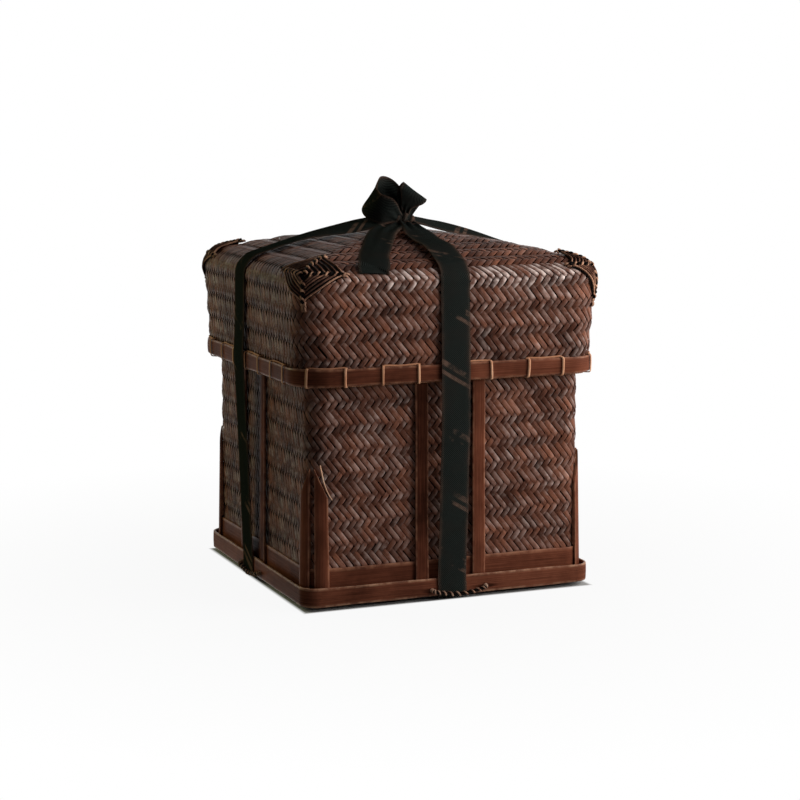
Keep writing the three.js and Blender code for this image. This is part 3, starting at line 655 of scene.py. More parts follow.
def body_weave(rising, inside):
    """The body's strips of one direction, on the walls and the floor."""
    top = (mouth_z - body_seam) / BODY_ROW - 0.2
    bottom = (foot_z - body_seam) / BODY_ROW + 0.2
    walls = wall_weave(BODY_COUNT, top, bottom, rising, inside, BODY_IDS, body_polish_and_sheen, step=body_step,
                       surface=body_wall, relief=BODY_RELIEF)
    floor = square_weave(FLOOR_STEPS - 0.5, rising, inside, step=body_step, surface=body_floor, coarse=True)
    return stacked_cells([walls, floor])


def shade_shell(rings):
    """A thin near-black shell behind the strips, through rings of plan points: painted shade seen through the
    gaps of the weave.
    """
    mesh = Mesh()
    count = rings[0].shape[0]
    points = np.vstack(rings)
    faces = ring_quads(len(rings), count)
    last = (len(rings) - 1) * count
    faces.append([last + i for i in range(count)])
    faces.append(list(range(count))[::-1])
    corners = np.vstack([points[face][:, :2] for face in faces])
    mesh.add(points, faces, corners)
    return mesh


CORE_OUT = -0.95
CORE_IN = -1.45
CORE_STEPS = 160
CORE_START = 6
CORE_INSET = 0.6


def core_rings(surface, places, lift):
    """Rings of points on a surface, one at each place along it."""
    quarters = np.arange(CORE_STEPS) * 4 / CORE_STEPS
    return [surface(quarters, np.full(CORE_STEPS, at), np.full(CORE_STEPS, lift)) for at in places]


def lid_shade_shell():
    top = np.linspace(CORE_START, dome_length, 9)
    side = np.linspace(dome_length + 3, lid_length - CORE_INSET, 14)
    reaches = np.concatenate([top, side])
    outer = core_rings(lid_surface, reaches, CORE_OUT)
    return shade_shell(core_rings(lid_surface, reaches, CORE_IN) + outer[::-1])


def body_shade_shell():
    heights = np.linspace(foot_z, mouth_z - CORE_INSET, 12)
    outer = core_rings(body_surface, heights, CORE_OUT)
    inner = core_rings(body_surface, heights, CORE_IN)
    spread = body_half - BODY_EDGE
    under = core_rings(floor_surface, [spread - 0.5], CORE_OUT)
    over = core_rings(floor_surface, [spread - 1], CORE_IN)
    return shade_shell(under + outer + inner[::-1] + over)


# Materials

FIBRE_TONE = 0.28
FIBRE_HEIGHT = 0.00018
FRAME_FIBRE = (0.02, 1.8, 1)
BLOTCH_TONE = 0.22
TWILL_HEIGHT = 0.00022
STRIPE_SPACING = 46
STRIPE_SLANT = 0.6
FIRST_STRIPE = (6, 2.6)
SECOND_STRIPE = (13, 1.9)
STITCH_LENGTH = 1.7
STITCH_INSET = 1.3


class Nodes:
    """A material and short ways to add its nodes."""

    def __init__(self, name):
        self.material = bpy.data.materials.new(name)
        self.material.use_nodes = True
        self.tree = self.material.node_tree
        self.shader = self.tree.nodes["Principled BSDF"]

    def put(self, socket, value):
        if isinstance(value, bpy.types.NodeSocket):
            self.tree.links.new(value, socket)
        else:
            socket.default_value = value

    def add(self, kind, inputs, output=0, **settings):
        node = self.tree.nodes.new(kind)
        for key, value in settings.items():
            setattr(node, key, value)
        for key, value in inputs.items():
            self.put(node.inputs[key], value)
        return node.outputs[output]

    def attribute(self, name):
        return self.add("ShaderNodeAttribute", {}, 2, attribute_name=name)

    def strip(self, scale):
        uv = self.add("ShaderNodeUVMap", {}, uv_map="strip")
        return self.add("ShaderNodeMapping", {"Vector": uv, "Scale": scale})

    def place(self, scale=(1, 1, 1)):
        where = self.add("ShaderNodeTexCoord", {}, 3)
        return self.add("ShaderNodeMapping", {"Vector": where, "Scale": scale})

    def noise(self, vector, scale, detail=3.0, rough=0.55):
        inputs = {"Vector": vector, "Scale": scale, "Detail": detail, "Roughness": rough}
        return self.add("ShaderNodeTexNoise", inputs)

    def math(self, operation, first, second=0.0):
        return self.add("ShaderNodeMath", {0: first, 1: second}, operation=operation)

    def fit(self, value, low, high, to_low=0.0, to_high=1.0):
        inputs = {"Value": value, "From Min": low, "From Max": high, "To Min": to_low, "To Max": to_high}
        return self.add("ShaderNodeMapRange", inputs)

    def band(self, value, middle, half):
        """One within half of a middle value, falling to zero at its edges."""
        off = self.math("ABSOLUTE", self.math("SUBTRACT", value, middle))
        return self.fit(off, 0.6 * half, half, 1.0, 0.0)

    def mix(self, share, first, second):
        return self.add("ShaderNodeMix", {0: share, 6: first, 7: second}, 2, data_type="RGBA")

    def bump(self, height, distance, strength=1.0):
        inputs = {"Height": height, "Distance": distance, "Strength": strength}
        return self.add("ShaderNodeBump", inputs)

    def finish(self, colour, rough, normal):
        self.put(self.shader.inputs["Base Color"], colour)
        self.put(self.shader.inputs["Roughness"], rough)
        self.put(self.shader.inputs["Normal"], normal)
        return self.material


def rgb(red, green, blue):
    """A colour given as it shows on a screen."""
    def linear(value):
        value = value / 255
        return value / 12.92 if value <= 0.04045 else ((value + 0.055) / 1.055) ** 2.4
    return (linear(red), linear(green), linear(blue), 1)


def bamboo(name, colours, fibre=(0.06, 3.2, 1), gloss=0.34, wear_and_sheen_share=0.8, shine=(0.008, 0.06)):
    """Split bamboo: long fibres, a tone for each strip, blotches, and a pale colour that is real wear on
    edges and, on the woven strips, painted sheen and highlights.
    """
    nodes = Nodes(name)
    dark, middle, light, worn_and_sheen = (rgb(*colour) for colour in colours)
    fibres = nodes.noise(nodes.strip(fibre), 1.0, 4.0, 0.6)
    blotches = nodes.noise(nodes.place(), 38.0, 3.0)
    tone = nodes.math("ADD", nodes.attribute("tone"), nodes.fit(fibres, 0.3, 0.7, -FIBRE_TONE, FIBRE_TONE))
    tone = nodes.math("ADD", tone, nodes.fit(blotches, 0.3, 0.7, -BLOTCH_TONE, BLOTCH_TONE))
    colour = nodes.mix(nodes.fit(tone, 0.0, 0.55), dark, middle)
    colour = nodes.mix(nodes.fit(tone, 0.55, 1.15), colour, light)
    patches = nodes.noise(nodes.place(), 160.0, 2.0)
    wear_and_sheen = nodes.math("MULTIPLY", nodes.attribute("wear_and_sheen"), nodes.fit(patches, 0.4, 0.62, 0.1, wear_and_sheen_share))
    # The pale colour mixed in here is real wear on hoops, slats and cane, and painted sheen and highlights on
    # the woven strips.
    colour = nodes.mix(wear_and_sheen, colour, worn_and_sheen)
    rough = nodes.fit(fibres, 0.25, 0.75, gloss + 0.14, gloss - 0.08)
    normal = nodes.bump(fibres, FIBRE_HEIGHT, 0.7)
    level = nodes.fit(nodes.attribute("wear_and_sheen"), 0.3, 1.0, *shine)
    nodes.put(nodes.shader.inputs["Specular IOR Level"], level)
    return nodes.finish(colour, rough, normal)


def plain_bamboo(name, dark, middle):
    """Bamboo with its fibres from left to right, for a solid that has no strip coordinates."""
    nodes = Nodes(name)
    fibres = nodes.noise(nodes.place((8, 900, 900)), 1.0, 4.0, 0.6)
    colour = nodes.mix(nodes.fit(fibres, 0.3, 0.7), dark, middle)
    nodes.shader.inputs["Specular IOR Level"].default_value = 0.12
    rough = nodes.fit(fibres, 0.25, 0.75, 0.5, 0.36)
    return nodes.finish(colour, rough, nodes.bump(fibres, FIBRE_HEIGHT, 0.7))


def ribbon_cloth(name):
    """A dark woven ribbon: twill, stitched edges, and worn slanting stripes in pairs now and then."""
    nodes = Nodes(name)
    where = nodes.strip((1, 1, 1))
    split = nodes.tree.nodes.new("ShaderNodeSeparateXYZ")
    nodes.put(split.inputs[0], where)
    along = split.outputs[0]
    across = nodes.math("MODULO", split.outputs[1], RIBBON_WIDTH + 0.65 * RIBBON_THICK)
    twill = nodes.add("ShaderNodeTexWave", {"Vector": where, "Scale": 0.42, "Distortion": 0.6}, 1,
                      bands_direction="DIAGONAL")
    weft = nodes.add("ShaderNodeTexWave", {"Vector": where, "Scale": 0.5, "Distortion": 0.3}, 1,
                     bands_direction="X")
    grime = nodes.noise(nodes.place(), 60.0, 4.0)
    colour = nodes.mix(nodes.fit(twill, 0.2, 0.9), rgb(16, 18, 17), rgb(43, 48, 46))
    colour = nodes.mix(nodes.fit(grime, 0.45, 0.75, 0, 0.5), colour, rgb(38, 34, 31))
    slant = nodes.math("ADD", along, nodes.math("MULTIPLY", across, STRIPE_SLANT))
    slant = nodes.math("MODULO", slant, STRIPE_SPACING)
    stripes = nodes.math("MAXIMUM", nodes.band(slant, *FIRST_STRIPE), nodes.band(slant, *SECOND_STRIPE))
    patches = nodes.fit(nodes.noise(nodes.place(), 22.0, 5.0, 0.65), 0.52, 0.6, 0.0, 0.8)
    colour = nodes.mix(nodes.math("MULTIPLY", stripes, patches), colour, rgb(104, 82, 71))
    from_edge = nodes.math("MINIMUM", across, nodes.math("SUBTRACT", RIBBON_WIDTH, across))
    turns = nodes.math("MULTIPLY", along, 2 * math.pi / STITCH_LENGTH)
    dots = nodes.fit(nodes.math("SINE", turns), 0.0, 0.6)
    stitches = nodes.math("MULTIPLY", nodes.band(from_edge, STITCH_INSET, 0.45), dots)
    colour = nodes.mix(nodes.math("MULTIPLY", stitches, 0.7), colour, rgb(58, 52, 46))
    # Pale at the ribbon's edges from wear, and on the knot's fold crests partly as a painted highlight.
    wear_and_sheen = nodes.math("MULTIPLY", nodes.attribute("wear_and_sheen"), nodes.fit(grime, 0.35, 0.65, 0.1, 0.8))
    colour = nodes.mix(wear_and_sheen, colour, rgb(88, 67, 57))
    height = nodes.math("ADD", nodes.math("ADD", twill, nodes.math("MULTIPLY", weft, 0.6)), stitches)
    nodes.shader.inputs["Specular IOR Level"].default_value = 0.0
    return nodes.finish(colour, nodes.fit(grime, 0.3, 0.7, 0.4, 0.6), nodes.bump(height, TWILL_HEIGHT, 0.8))


# The last strip colour is the pale one of the wear mark: rubbing, and painted sheen on the strips' lit sides
# and the lid's upper edge.
STRIP_COLOURS = ((36, 18, 13), (93, 57, 44), (150, 97, 75), (190, 171, 164))
# Near-black colours of the shell behind the weave, painted shade for the gaps between strips.
SHADE_SHELL_COLOURS = ((10, 6, 5), (18, 10, 8), (26, 15, 12), (30, 18, 14))
FRAME_COLOURS = ((42, 20, 13), (90, 50, 36), (126, 74, 55), (164, 116, 90))
HOOP_COLOURS = ((46, 22, 14), (98, 56, 41), (134, 80, 60), (186, 146, 118))
CANE_COLOURS = ((100, 60, 42), (172, 120, 90), (212, 166, 134), (226, 190, 162))
EAR_COLOURS = ((12, 8, 7), (84, 52, 42), (198, 152, 124), (222, 192, 168))

strip_material = bamboo("woven_strips", STRIP_COLOURS, gloss=0.24, wear_and_sheen_share=0.95, shine=(0.012, 0.14))
shade_shell_material = bamboo("weave_shadow", SHADE_SHELL_COLOURS, shine=(0.0, 0.0))
frame_material = bamboo("split_bamboo", FRAME_COLOURS, FRAME_FIBRE, 0.32, 0.5)
hoop_material = bamboo("base_hoop_bamboo", HOOP_COLOURS, FRAME_FIBRE, 0.32, 0.5)
plain_material = plain_bamboo("runner_bamboo", rgb(44, 22, 15), rgb(92, 54, 40))
cane_material = bamboo("tan_cane", CANE_COLOURS, (0.2, 4.0, 1))
ear_material = bamboo("corner_cane", EAR_COLOURS, (0.3, 4.0, 1))
ribbon_material = ribbon_cloth("dark_ribbon")


# Woven pieces

for label, rising in (("falling", False), ("rising", True)):
    for strips, inside in (("strips", False), ("inside_strips", True)):
        place(f"lid_{strips}_{label}", lid_weave(rising, inside), strip_material, "basket_lid",
              ["lid_weave_shell"], True)
        place(f"body_{strips}_{label}", body_weave(rising, inside), strip_material, "basket_body",
              ["body_weave_shell"], True)
# Near-black shells behind the weave, painted shade seen through its gaps.
place("lid_shade_shell", lid_shade_shell(), shade_shell_material, "basket_lid", ["lid_weave_shell"])
place("body_shade_shell", body_shade_shell(), shade_shell_material, "basket_body", ["body_weave_shell"])


# A split strand that stands out of the weave by the front left corner

STRAND = [
    (-100.8, -109.2, 106), (-100.6, -112, 101), (-99.6, -113.8, 94), (-97, -114.2, 87), (-93.4, -113.8, 81),
]


def loose_strand():
    path = smooth_path(STRAND, 6)
    sections = oval(1.0, 0.5, 6) * np.linspace(1, 0.6, len(path))[:, None, None]
    return swept(path, sections, (1, 0, 0), False, 1.0, 1.0)


place("body_loose_strand", loose_strand(), cane_material, "basket_body", ["body_weave_shell"])


# Hoops, slats and posts

FACE_SHIFTS = (0, 0, 0, -12)
BAND_CORNER = BODY_CORNER + GAP + BAND_THICK
POST_WIDTH = 10
POST_ROUNDS = {("front", "right"): 13.5, ("right", "left"): -2.5}
POST_ROUND = 5.5
STRIP_STEPS = 40
STRIP_TONES = (0.4, 0.65)
HOOP_WAVES = ((0.12, 9.1), (0.1, 23.7))
HOOP_TONE_SPREAD = 0.12
# Painted shadow: two slats made darker where the ribbon beside them shades them.
SHADOWED_SLATS = {("front", "left"): -0.35, ("left", "right"): -0.2}


def ring_marks(half, corner):
    """Quarters at which a hoop is cut into short lengths, closer in its corners."""
    straight = (half - corner) / (half - corner + corner * math.pi / 4)
    bend = straight + (1 - straight) * np.linspace(0.125, 1.875, 15)
    side = np.concatenate([np.linspace(-straight, straight, 17), bend])
    return np.concatenate([k + side / 2 for k in range(4)])


def bent_hoop(node, thick, corner, bulge):
    """A bent strip of bamboo all the way round, a little crowned outside, worn on its edges."""
    lowest, highest = span(node)
    half, low, high = highest[0], lowest[2], highest[2]
    quarters = ring_marks(half, corner)
    count = len(quarters)
    plan = on_ring(quarters, np.full(count, half - thick / 2), np.full(count, corner - thick / 2))[0]
    path = np.concatenate([plan, np.full((count, 1), (low + high) / 2)], 1)
    section, marks = rounded(high - low, thick, 0.5, 8)
    middle = 1 - (2 * section[:, 0] / (high - low)) ** 2
    section[:, 1] += bulge * middle * (section[:, 1] > 0)
    waves = sum(size * np.sin(quarters * rate) for size, rate in HOOP_WAVES)
    sections = np.repeat(section[None], count, 0)
    sections[..., 0] += waves[:, None] * np.sign(section[:, 0]) * (marks + 0.5)
    return swept(path, sections, (0, 0, 1), True, 0.5 + HOOP_TONE_SPREAD * np.sin(quarters * 5), marks)


def cut_holes(thing, mesh):
    """Holes through a piece, in the shape of a mesh."""
    holes = add_object("holes", mesh_data("holes", mesh))
    cut = thing.modifiers.new("holes", "BOOLEAN")
    cut.object = holes
    bpy.context.view_layer.update()
    whole = bpy.data.meshes.new_from_object(thing.evaluated_get(bpy.context.evaluated_depsgraph_get()))
    whole.set_sharp_from_angle(angle=SHARP_ANGLE)
    thing.modifiers.remove(cut)
    thing.data = whole
    bpy.data.objects.remove(holes)


def hoop_holes():
    """The round holes in the base hoop, two on each side."""
    meshes = []
    for k, shift in enumerate(FACE_SHIFTS):
        for hole in HOLE_PLACES:
            ends = [hoop_half + 2, hoop_half - HOOP_THICK - 2]
            path = np.array([(hole + shift, -out, hoop_low[2] + HOLE_RISE) for out in ends])
            hole_round = oval(2 * HOLE_RADIUS, 2 * HOLE_RADIUS, 16)
            meshes.append(swept(path, hole_round, (1, 0, 0)).turned(k))
    return join(meshes)


def standing_strip(width, foot, top, cut, falls_to, painted_shadow=0.0, bulge=0.3):
    """A flat upright strip at the origin; its top is cut at a slant that falls to one side."""
    heights = np.linspace(foot, top, STRIP_STEPS)
    section, marks = rounded(width, STRIP_THICK, 0.45, 8)
    middle = 1 - (2 * section[:, 0] / width) ** 2
    section[:, 1] -= bulge * middle * (section[:, 1] < 0)
    phase = random.uniform(0, 6)
    # The tone is lowered by a painted shadow on the slats that have one.
    tone = random.uniform(*STRIP_TONES) + painted_shadow + 0.08 * np.sin(heights / 23 + phase)
    sections = np.repeat(section[None], STRIP_STEPS, 0)
    sections[:, :, 0] += (0.12 * np.sin(heights / 17 + phase))[:, None]
    path = np.stack([0 * heights, 0 * heights, heights], 1)
    wear_and_sheen = np.tile(marks, (STRIP_STEPS, 1))
    wear_and_sheen[-1] = 1
    mesh = swept(path, sections, (1, 0, 0), False, tone, wear_and_sheen)
    points = mesh.points[0]
    share = 0.5 + falls_to * points[:, 0] / width
    points[:, 2] -= cut * share * (points[:, 2] - foot) / (top - foot)
    return mesh


def on_face(mesh, middle, top):
    """An upright strip set against a face, foot on the band and top on the weave."""
    x, y, z = mesh.points[0].T
    top_inner = body_half - BODY_TAPER * (top - foot_z) / (mouth_z - foot_z) + GAP
    rise = (z - band_high[2]) / (top - band_high[2])
    inner = slat_inner + (top_inner - slat_inner) * rise
    out = inner + STRIP_THICK / 2 - y
    mesh.points = [np.stack([middle + x, -out, z], 1)]
    return mesh


def round_corner(mesh, middle, top):
    """An upright strip bent round a corner of the body, from a place along its foot."""
    x, y, z = mesh.points[0].T
    straight = band_half - BAND_CORNER
    lean = (BAND_CORNER - BODY_CORNER) / (top - band_high[2])
    corner = BAND_CORNER + GAP - lean * (z - band_high[2]) + STRIP_THICK / 2 - y
    behind = (y > 0) & (z > band_high[2] + 0.5)
    corner = np.where(behind, np.minimum(corner, BODY_CORNER + 0.6), corner)
    place_at = middle + x
    angle = np.maximum(np.abs(place_at) - straight, 0) / BAND_CORNER
    beyond = np.abs(place_at) > straight
    along = np.where(beyond, np.sign(place_at) * (straight + corner * np.sin(angle)), place_at)
    out = straight + corner * np.cos(angle)
    mesh.points = [np.stack([along, -out, z], 1)]
    return mesh


def upright(name, mesh, quarters):
    place(f"{name}_split", mesh.turned(quarters), frame_material, "basket_body", [name])


HOOPS = [
    ("base_hoop", "basket_body", HOOP_THICK, HOOP_CORNER, 0.25),
    ("inner_base_band", "basket_body", BAND_THICK, BAND_CORNER, 0.1),
    ("body_mouth_outer_hoop", "basket_body", MOUTH_THICK, BODY_CORNER + GAP + MOUTH_THICK, 0.1),
    ("body_mouth_inner_hoop", "basket_body", MOUTH_THICK, BODY_CORNER - SHELL - GAP, 0.0),
    ("lid_rim_outer_hoop", "basket_lid", RIM_THICK, rim_corner, 0.5),
    ("lid_rim_inner_hoop", "basket_lid", RIM_IN_THICK, LID_RIM_CORNER - SHELL - GAP, 0.0),
]
for node, body, thick, corner, bulge in HOOPS:
    mesh = bent_hoop(node, thick, corner, bulge)
    material = hoop_material if node == "base_hoop" else frame_material
    hoop = place(f"{node}_bent", mesh, material, body, [node])
    if node == "base_hoop":
        cut_holes(hoop, hoop_holes())

for k, face in enumerate(FACES):
    for side, label in ((-1, "left"), (1, "right")):
        low, high = span(f"front_slat_{label}")
        strip = standing_strip(high[0] - low[0], low[2], high[2], 0, 1, SHADOWED_SLATS.get((face, label), 0.0))
        upright(f"{face}_slat_{label}", on_face(strip, (low[0] + high[0]) / 2 + FACE_SHIFTS[k], high[2]), k)
        low, high = span(f"{face}_corner_post_{label}")
        strip = standing_strip(POST_WIDTH, low[2], high[2], POST_CUT, -side)
        middle = side * (band_half - BAND_CORNER + POST_ROUNDS.get((face, label), POST_ROUND))
        upright(f"{face}_corner_post_{label}", round_corner(strip, middle, high[2]), k)

for node in ("runner_front", "runner_back"):
    for slot in bpy.data.objects[node].material_slots:
        slot.material = plain_material


# Cane: rim lashing, loops on the base hoop, and the bound corners of the lid

STITCHES = 8
STITCH_SHIFT = 0.2
STITCH_OUT = 0.45
STITCH_LEAN = 0.5
CANE_WIDTH = 2.0
CANE_THICK = 0.9
RUN_STEPS = 14
RUN_INSET = 1.0
RUN_RISE = 0.75
RUN_DIP = 0.5
RUN_SIZE = (1.3, 1.0)
BEAD_SPACING = 2.1
BEAD_INSET = 3.1
BEAD_DROP = 0.35
BEAD_HALF = 0.9
BEAD_SIZE = (1.3, 1.0)
BEAD_TONES = (0.15, 0.5)
rim_side = 2 * (rim_half - rim_corner) + rim_corner * math.pi / 2


def ring_place(length, half, corner, z):
    """A point at a length round the rim's outer hoop, moved to another ring."""
    plan, outward = on_ring(np.array([length / rim_side]), half, corner)
    return np.array([plan[0][0], plan[0][1], z]), np.array([outward[0][0], outward[0][1], 0])


def rim_stitch(mesh, length):
    """A flat stitch from inside the rim, under it and up its outer face to the weave."""
    low, high = rim_low[2], rim_high[2]
    out = CANE_THICK / 2 + STITCH_OUT
    face = rim_half + out
    inside = rim_in_high[0] - RIM_IN_THICK - 0.6
    lean = random.normal(0, STITCH_LEAN)
    stations = [
        (inside, low + 3, 0), (inside, low - 0.2, 0), (inside + 1.2, low - 0.75, 0),
        (rim_half - 1, low - 0.75, 0), (face - 0.1, low - 0.1, 0), (face + 0.35, low + 3.5, 0.3),
        (face + 0.35, high - 3.5, 0.7), (face, high - 0.2, 1), (rim_half - 0.6, high + 0.5, 1),
        (rim_half - 2.2, high + 0.3, 1),
    ]
    points = []
    for half, z, slip in stations:
        points.append(ring_place(length + lean * slip, half, rim_corner - (rim_half - half), z)[0])
    path = smooth_path(points, 4)
    outward = ring_place(length, rim_half, rim_corner, low)[1]
    along = np.cross((0, 0, 1), outward)
    section = oval(CANE_WIDTH * random.uniform(0.9, 1.1), CANE_THICK, 8)
    sweep(mesh, path, section, along, False, random.uniform(0.5, 0.8), 0.25, random.uniform(0, 90))


def rim_run(mesh, start, end):
    """A thin cane along the top of the rim between two stitches."""
    lengths = np.linspace(start - 0.6, end + 0.6, RUN_STEPS)
    wave = 0.25 * np.sin(np.linspace(0, math.pi, RUN_STEPS) * 2 + random.uniform(0, 6))
    half, corner, height = rim_half - RUN_INSET, rim_corner - RUN_INSET, rim_high[2] + RUN_RISE
    path = np.array([ring_place(at, half, corner, height + rise)[0] for at, rise in zip(lengths, wave)])
    path[[0, -1], 2] -= RUN_DIP
    tone = random.uniform(0.3, 0.5)
    sweep(mesh, path, oval(*RUN_SIZE, 7), (0, 0, 1), False, tone, 0.1, random.uniform(0, 90))


def rim_beads(mesh, start, end):
    """A row of small cane turns along the lower edge of the rim's inside hoop."""
    half, corner, height = rim_half - BEAD_INSET, rim_corner - BEAD_INSET, rim_low[2] - BEAD_DROP
    for length in np.arange(start, end, BEAD_SPACING):
        centre, outward = ring_place(length, half, corner, height)
        along = np.cross((0, 0, 1), outward) * BEAD_HALF
        path = np.array([centre - along - (0, 0, 0.25), centre, centre + along + (0, 0, 0.1)])
        tone = random.uniform(*BEAD_TONES)
        sweep(mesh, smooth_path(path, 3), oval(*BEAD_SIZE, 6), outward, False, tone, 0.1)


def rim_lashing():
    mesh = Mesh()
    spacing = rim_side / STITCHES
    for k in range(4 * STITCHES):
        length = STITCH_SHIFT + k * spacing + random.normal(0, STITCH_LEAN)
        rim_stitch(mesh, length)
        if k % 2 == 0:
            rim_run(mesh, length, length + spacing)
        rim_beads(mesh, length + 3, length + spacing - 3)
    return mesh


LOOP_TURNS = 19
LOOP_STRANDS = ((0.62, 0.35, 1.4, 1.2), (-1.2, 0.0, 2.6, 0.0))
LOOP_SAG = 4.2
LOOP_OUT = 3.1
LOOP_SIDE = (0.3, 0.2, 1)


def base_loop(shift):
    """A tan cane wound round a dark one, in through a hole at each end, with a sag between."""
    left, right = HOLE_PLACES[0] + shift, HOLE_PLACES[1] + shift
    hole_z = hoop_low[2] + HOLE_RISE
    quarter = (right - left) / 4
    middle = (left + right) / 2
    low = (hole_z + 2 * LOOP_SAG) / 3
    within, behind, ahead, front = (-hoop_half + off for off in (3.4, 0.8, -0.9, -LOOP_OUT))
    stations = [
        (left, within, hole_z), (left, behind, hole_z), (left + 0.2, ahead, hole_z),
        (left + 2.4, front, hole_z - 0.8), (middle - quarter, front, low), (middle, front, LOOP_SAG),
        (middle + quarter, front, low), (right - 2.4, front, hole_z - 0.8), (right - 0.2, ahead, hole_z),
        (right, behind, hole_z), (right, within, hole_z),
    ]
    path = smooth_path(stations, 24)
    sides = carried(path, LOOP_SIDE)
    others = np.cross(directions(path), sides)
    turn = np.linspace(0, 2 * math.pi * LOOP_TURNS, len(path))[:, None]
    mesh = Mesh()
    for tone, wear_and_sheen, size, radius in LOOP_STRANDS:
        strand = path + radius * (np.cos(turn) * sides + np.sin(turn) * others)
        shade = tone + 0.12 * np.sin(turn[:, 0] * 1.7)
        sweep(mesh, strand, oval(size, size, 7), carried(strand, LOOP_SIDE), False, shade, wear_and_sheen)
    return mesh


def square_distance(x, y, half, corner):
    dx = np.abs(x) - half + corner
    dy = np.abs(y) - half + corner
    outside = np.hypot(np.maximum(dx, 0), np.maximum(dy, 0))
    return outside + np.minimum(np.maximum(dx, dy), 0) - corner


def lid_distance(points):
    fall = np.clip((edge_z - points[:, 2]) / (edge_z - rim_high[2]), 0, 1)
    corner = LID_TOP_CORNER + (LID_RIM_CORNER - LID_TOP_CORNER) * fall
    across = square_distance(points[:, 0], points[:, 1], lid_half - LID_FLARE * fall, corner) + LID_EDGE
    up = points[:, 2] - edge_z
    outside = np.hypot(np.maximum(across, 0), np.maximum(up, 0))
    return outside + np.minimum(np.maximum(across, up), 0) - LID_EDGE


def onto_lid(points, offset):
    """Points moved to lie at an offset outside the lid."""
    points = np.asarray(points, float)
    step = 0.01
    slope = np.stack([
        lid_distance(points + step * axis) - lid_distance(points - step * axis) for axis in np.eye(3)
    ], 1)
    moved = points + unit(slope) * (offset - lid_distance(points))[:, None]
    inside = square_distance(moved[:, 0], moved[:, 1], dome_half, dome_corner)
    domed = dome_foot + LID_DOME * (1 - ((dome_half + inside) / dome_half) ** 2) + offset
    moved[:, 2] = np.where(inside < 0, np.maximum(moved[:, 2], domed), moved[:, 2])
    return moved


EAR_ROWS = 6
EAR_WAYS = [np.array(way) for way in ((-1.0, 0, 0), (-1.0, 1, 0), (0, 1.0, -0.1), (0, 0, -1.0))]
EARS = {
    "front_right": ((25, 24, 30, 29), 0.13),
    "back_right": ((30, 26, 32, 28), 0.08),
    "back_left": ((34, 26, 30, 28), 0.08),
    "front_left": ((44, 28, 34, 24), 0.03),
}
EAR_FIRST = 0.36
EAR_STRAND_WIDTH = 1.35
EAR_STRAND_THICK = 1.4
EAR_STRAND_OFFSET = 1.75
EAR_EDGE_TONE = 0.7
EAR_TONE = 0.4
EAR_TONE_SPREAD = 0.25
# A near-black flat strand under each row of the binding, painted shade in the gaps between the strands.
EAR_BED_SIZE = (5.2, 0.6)
EAR_SHADE_BED_TONE = -0.75
EAR_BED_OFFSET = 1.1
EAR_BED_BACK = 0.064
RIDGE_TURN = 6.6
RIDGE_START = 6
RIDGE_OFFSET = 1.9
RIDGE_CORE = (2.6, 1.8)
RIDGE_RADII = (1.35, 0.95)
RIDGE_STRAND = (1.6, 1.2)
RIDGE_TONES = (0.78, -0.6)
RIDGE_SIDE = (0.31, 0.52, 0.8)
END_HALF = 1.7
END_APART = 1.35
END_OFFSET = 1.5
END_SIZE = (2.2, 1.6)
END_TONES = (0.6, 0.9)
END_BEYOND = 1.8
LAST_BEYOND = 5.4


def ear_strand(mesh, corner, ends, bow, section, tone, wear_and_sheen, offset):
    """A strand over the corner from one ridge to the next, bowed towards the corner."""
    share = np.linspace(-0.04, 1.04, 20)
    belly = np.sin(np.clip(share, 0, 1) * math.pi)
    chord = ends[0] * (1 - share)[:, None] + ends[1] * share[:, None]
    points = corner + (1 - bow * belly)[:, None] * chord
    path = onto_lid(points, offset + 0.3 * belly)
    normal = unit(path - onto_lid(points, -3.0))
    sides = np.cross(normal, directions(path))
    sweep(mesh, path, section, sides, False, tone + 0.1 * np.sin(share * 9), wear_and_sheen, random.uniform(0, 90))


def ear_ridge(mesh, corner, edge, end):
    """Tan and dark canes wound round a core along an edge of the lid, from the corner outwards; the core is
    near black, painted shade between the turns.
    """
    reach = np.linspace(RIDGE_START, end, 84)
    points = corner + reach[:, None] * edge
    path = onto_lid(points, RIDGE_OFFSET)
    out = unit(path - onto_lid(points, 0.2))
    sides = np.cross(directions(path), out)
    # The core's near-black tone is painted shade between the wound turns.
    sweep(mesh, path, oval(*RIDGE_CORE, 7), sides, False, -1.0, 0.0)
    turn = 2 * math.pi * reach[:, None] / RIDGE_TURN
    section = oval(*RIDGE_STRAND, 7)
    for k, tone in enumerate(RIDGE_TONES):
        angle = turn + k * math.pi
        strand = path + RIDGE_RADII[0] * np.cos(angle) * sides + RIDGE_RADII[1] * np.sin(angle) * out
        shade = tone + 0.15 * np.sin(reach * 1.3 + k)
        sweep(mesh, strand, section, carried(strand, RIDGE_SIDE), False, shade, 0.1 * (k == 0))


def ear_end(mesh, corner, edge, across, reach):
    """Two short turns of cane side by side, in which a ridge ends."""
    for side in (-1, 1):
        along = reach + np.linspace(-END_HALF, END_HALF, 9)
        points = corner + along[:, None] * edge + END_APART * side * across
        path = onto_lid(points, END_OFFSET - 0.25 * ((along - reach) / 0.85) ** 2)
        tone = random.uniform(*END_TONES)
        sweep(mesh, path, oval(*END_SIZE, 8), carried(path, across), False, tone, 0.2)


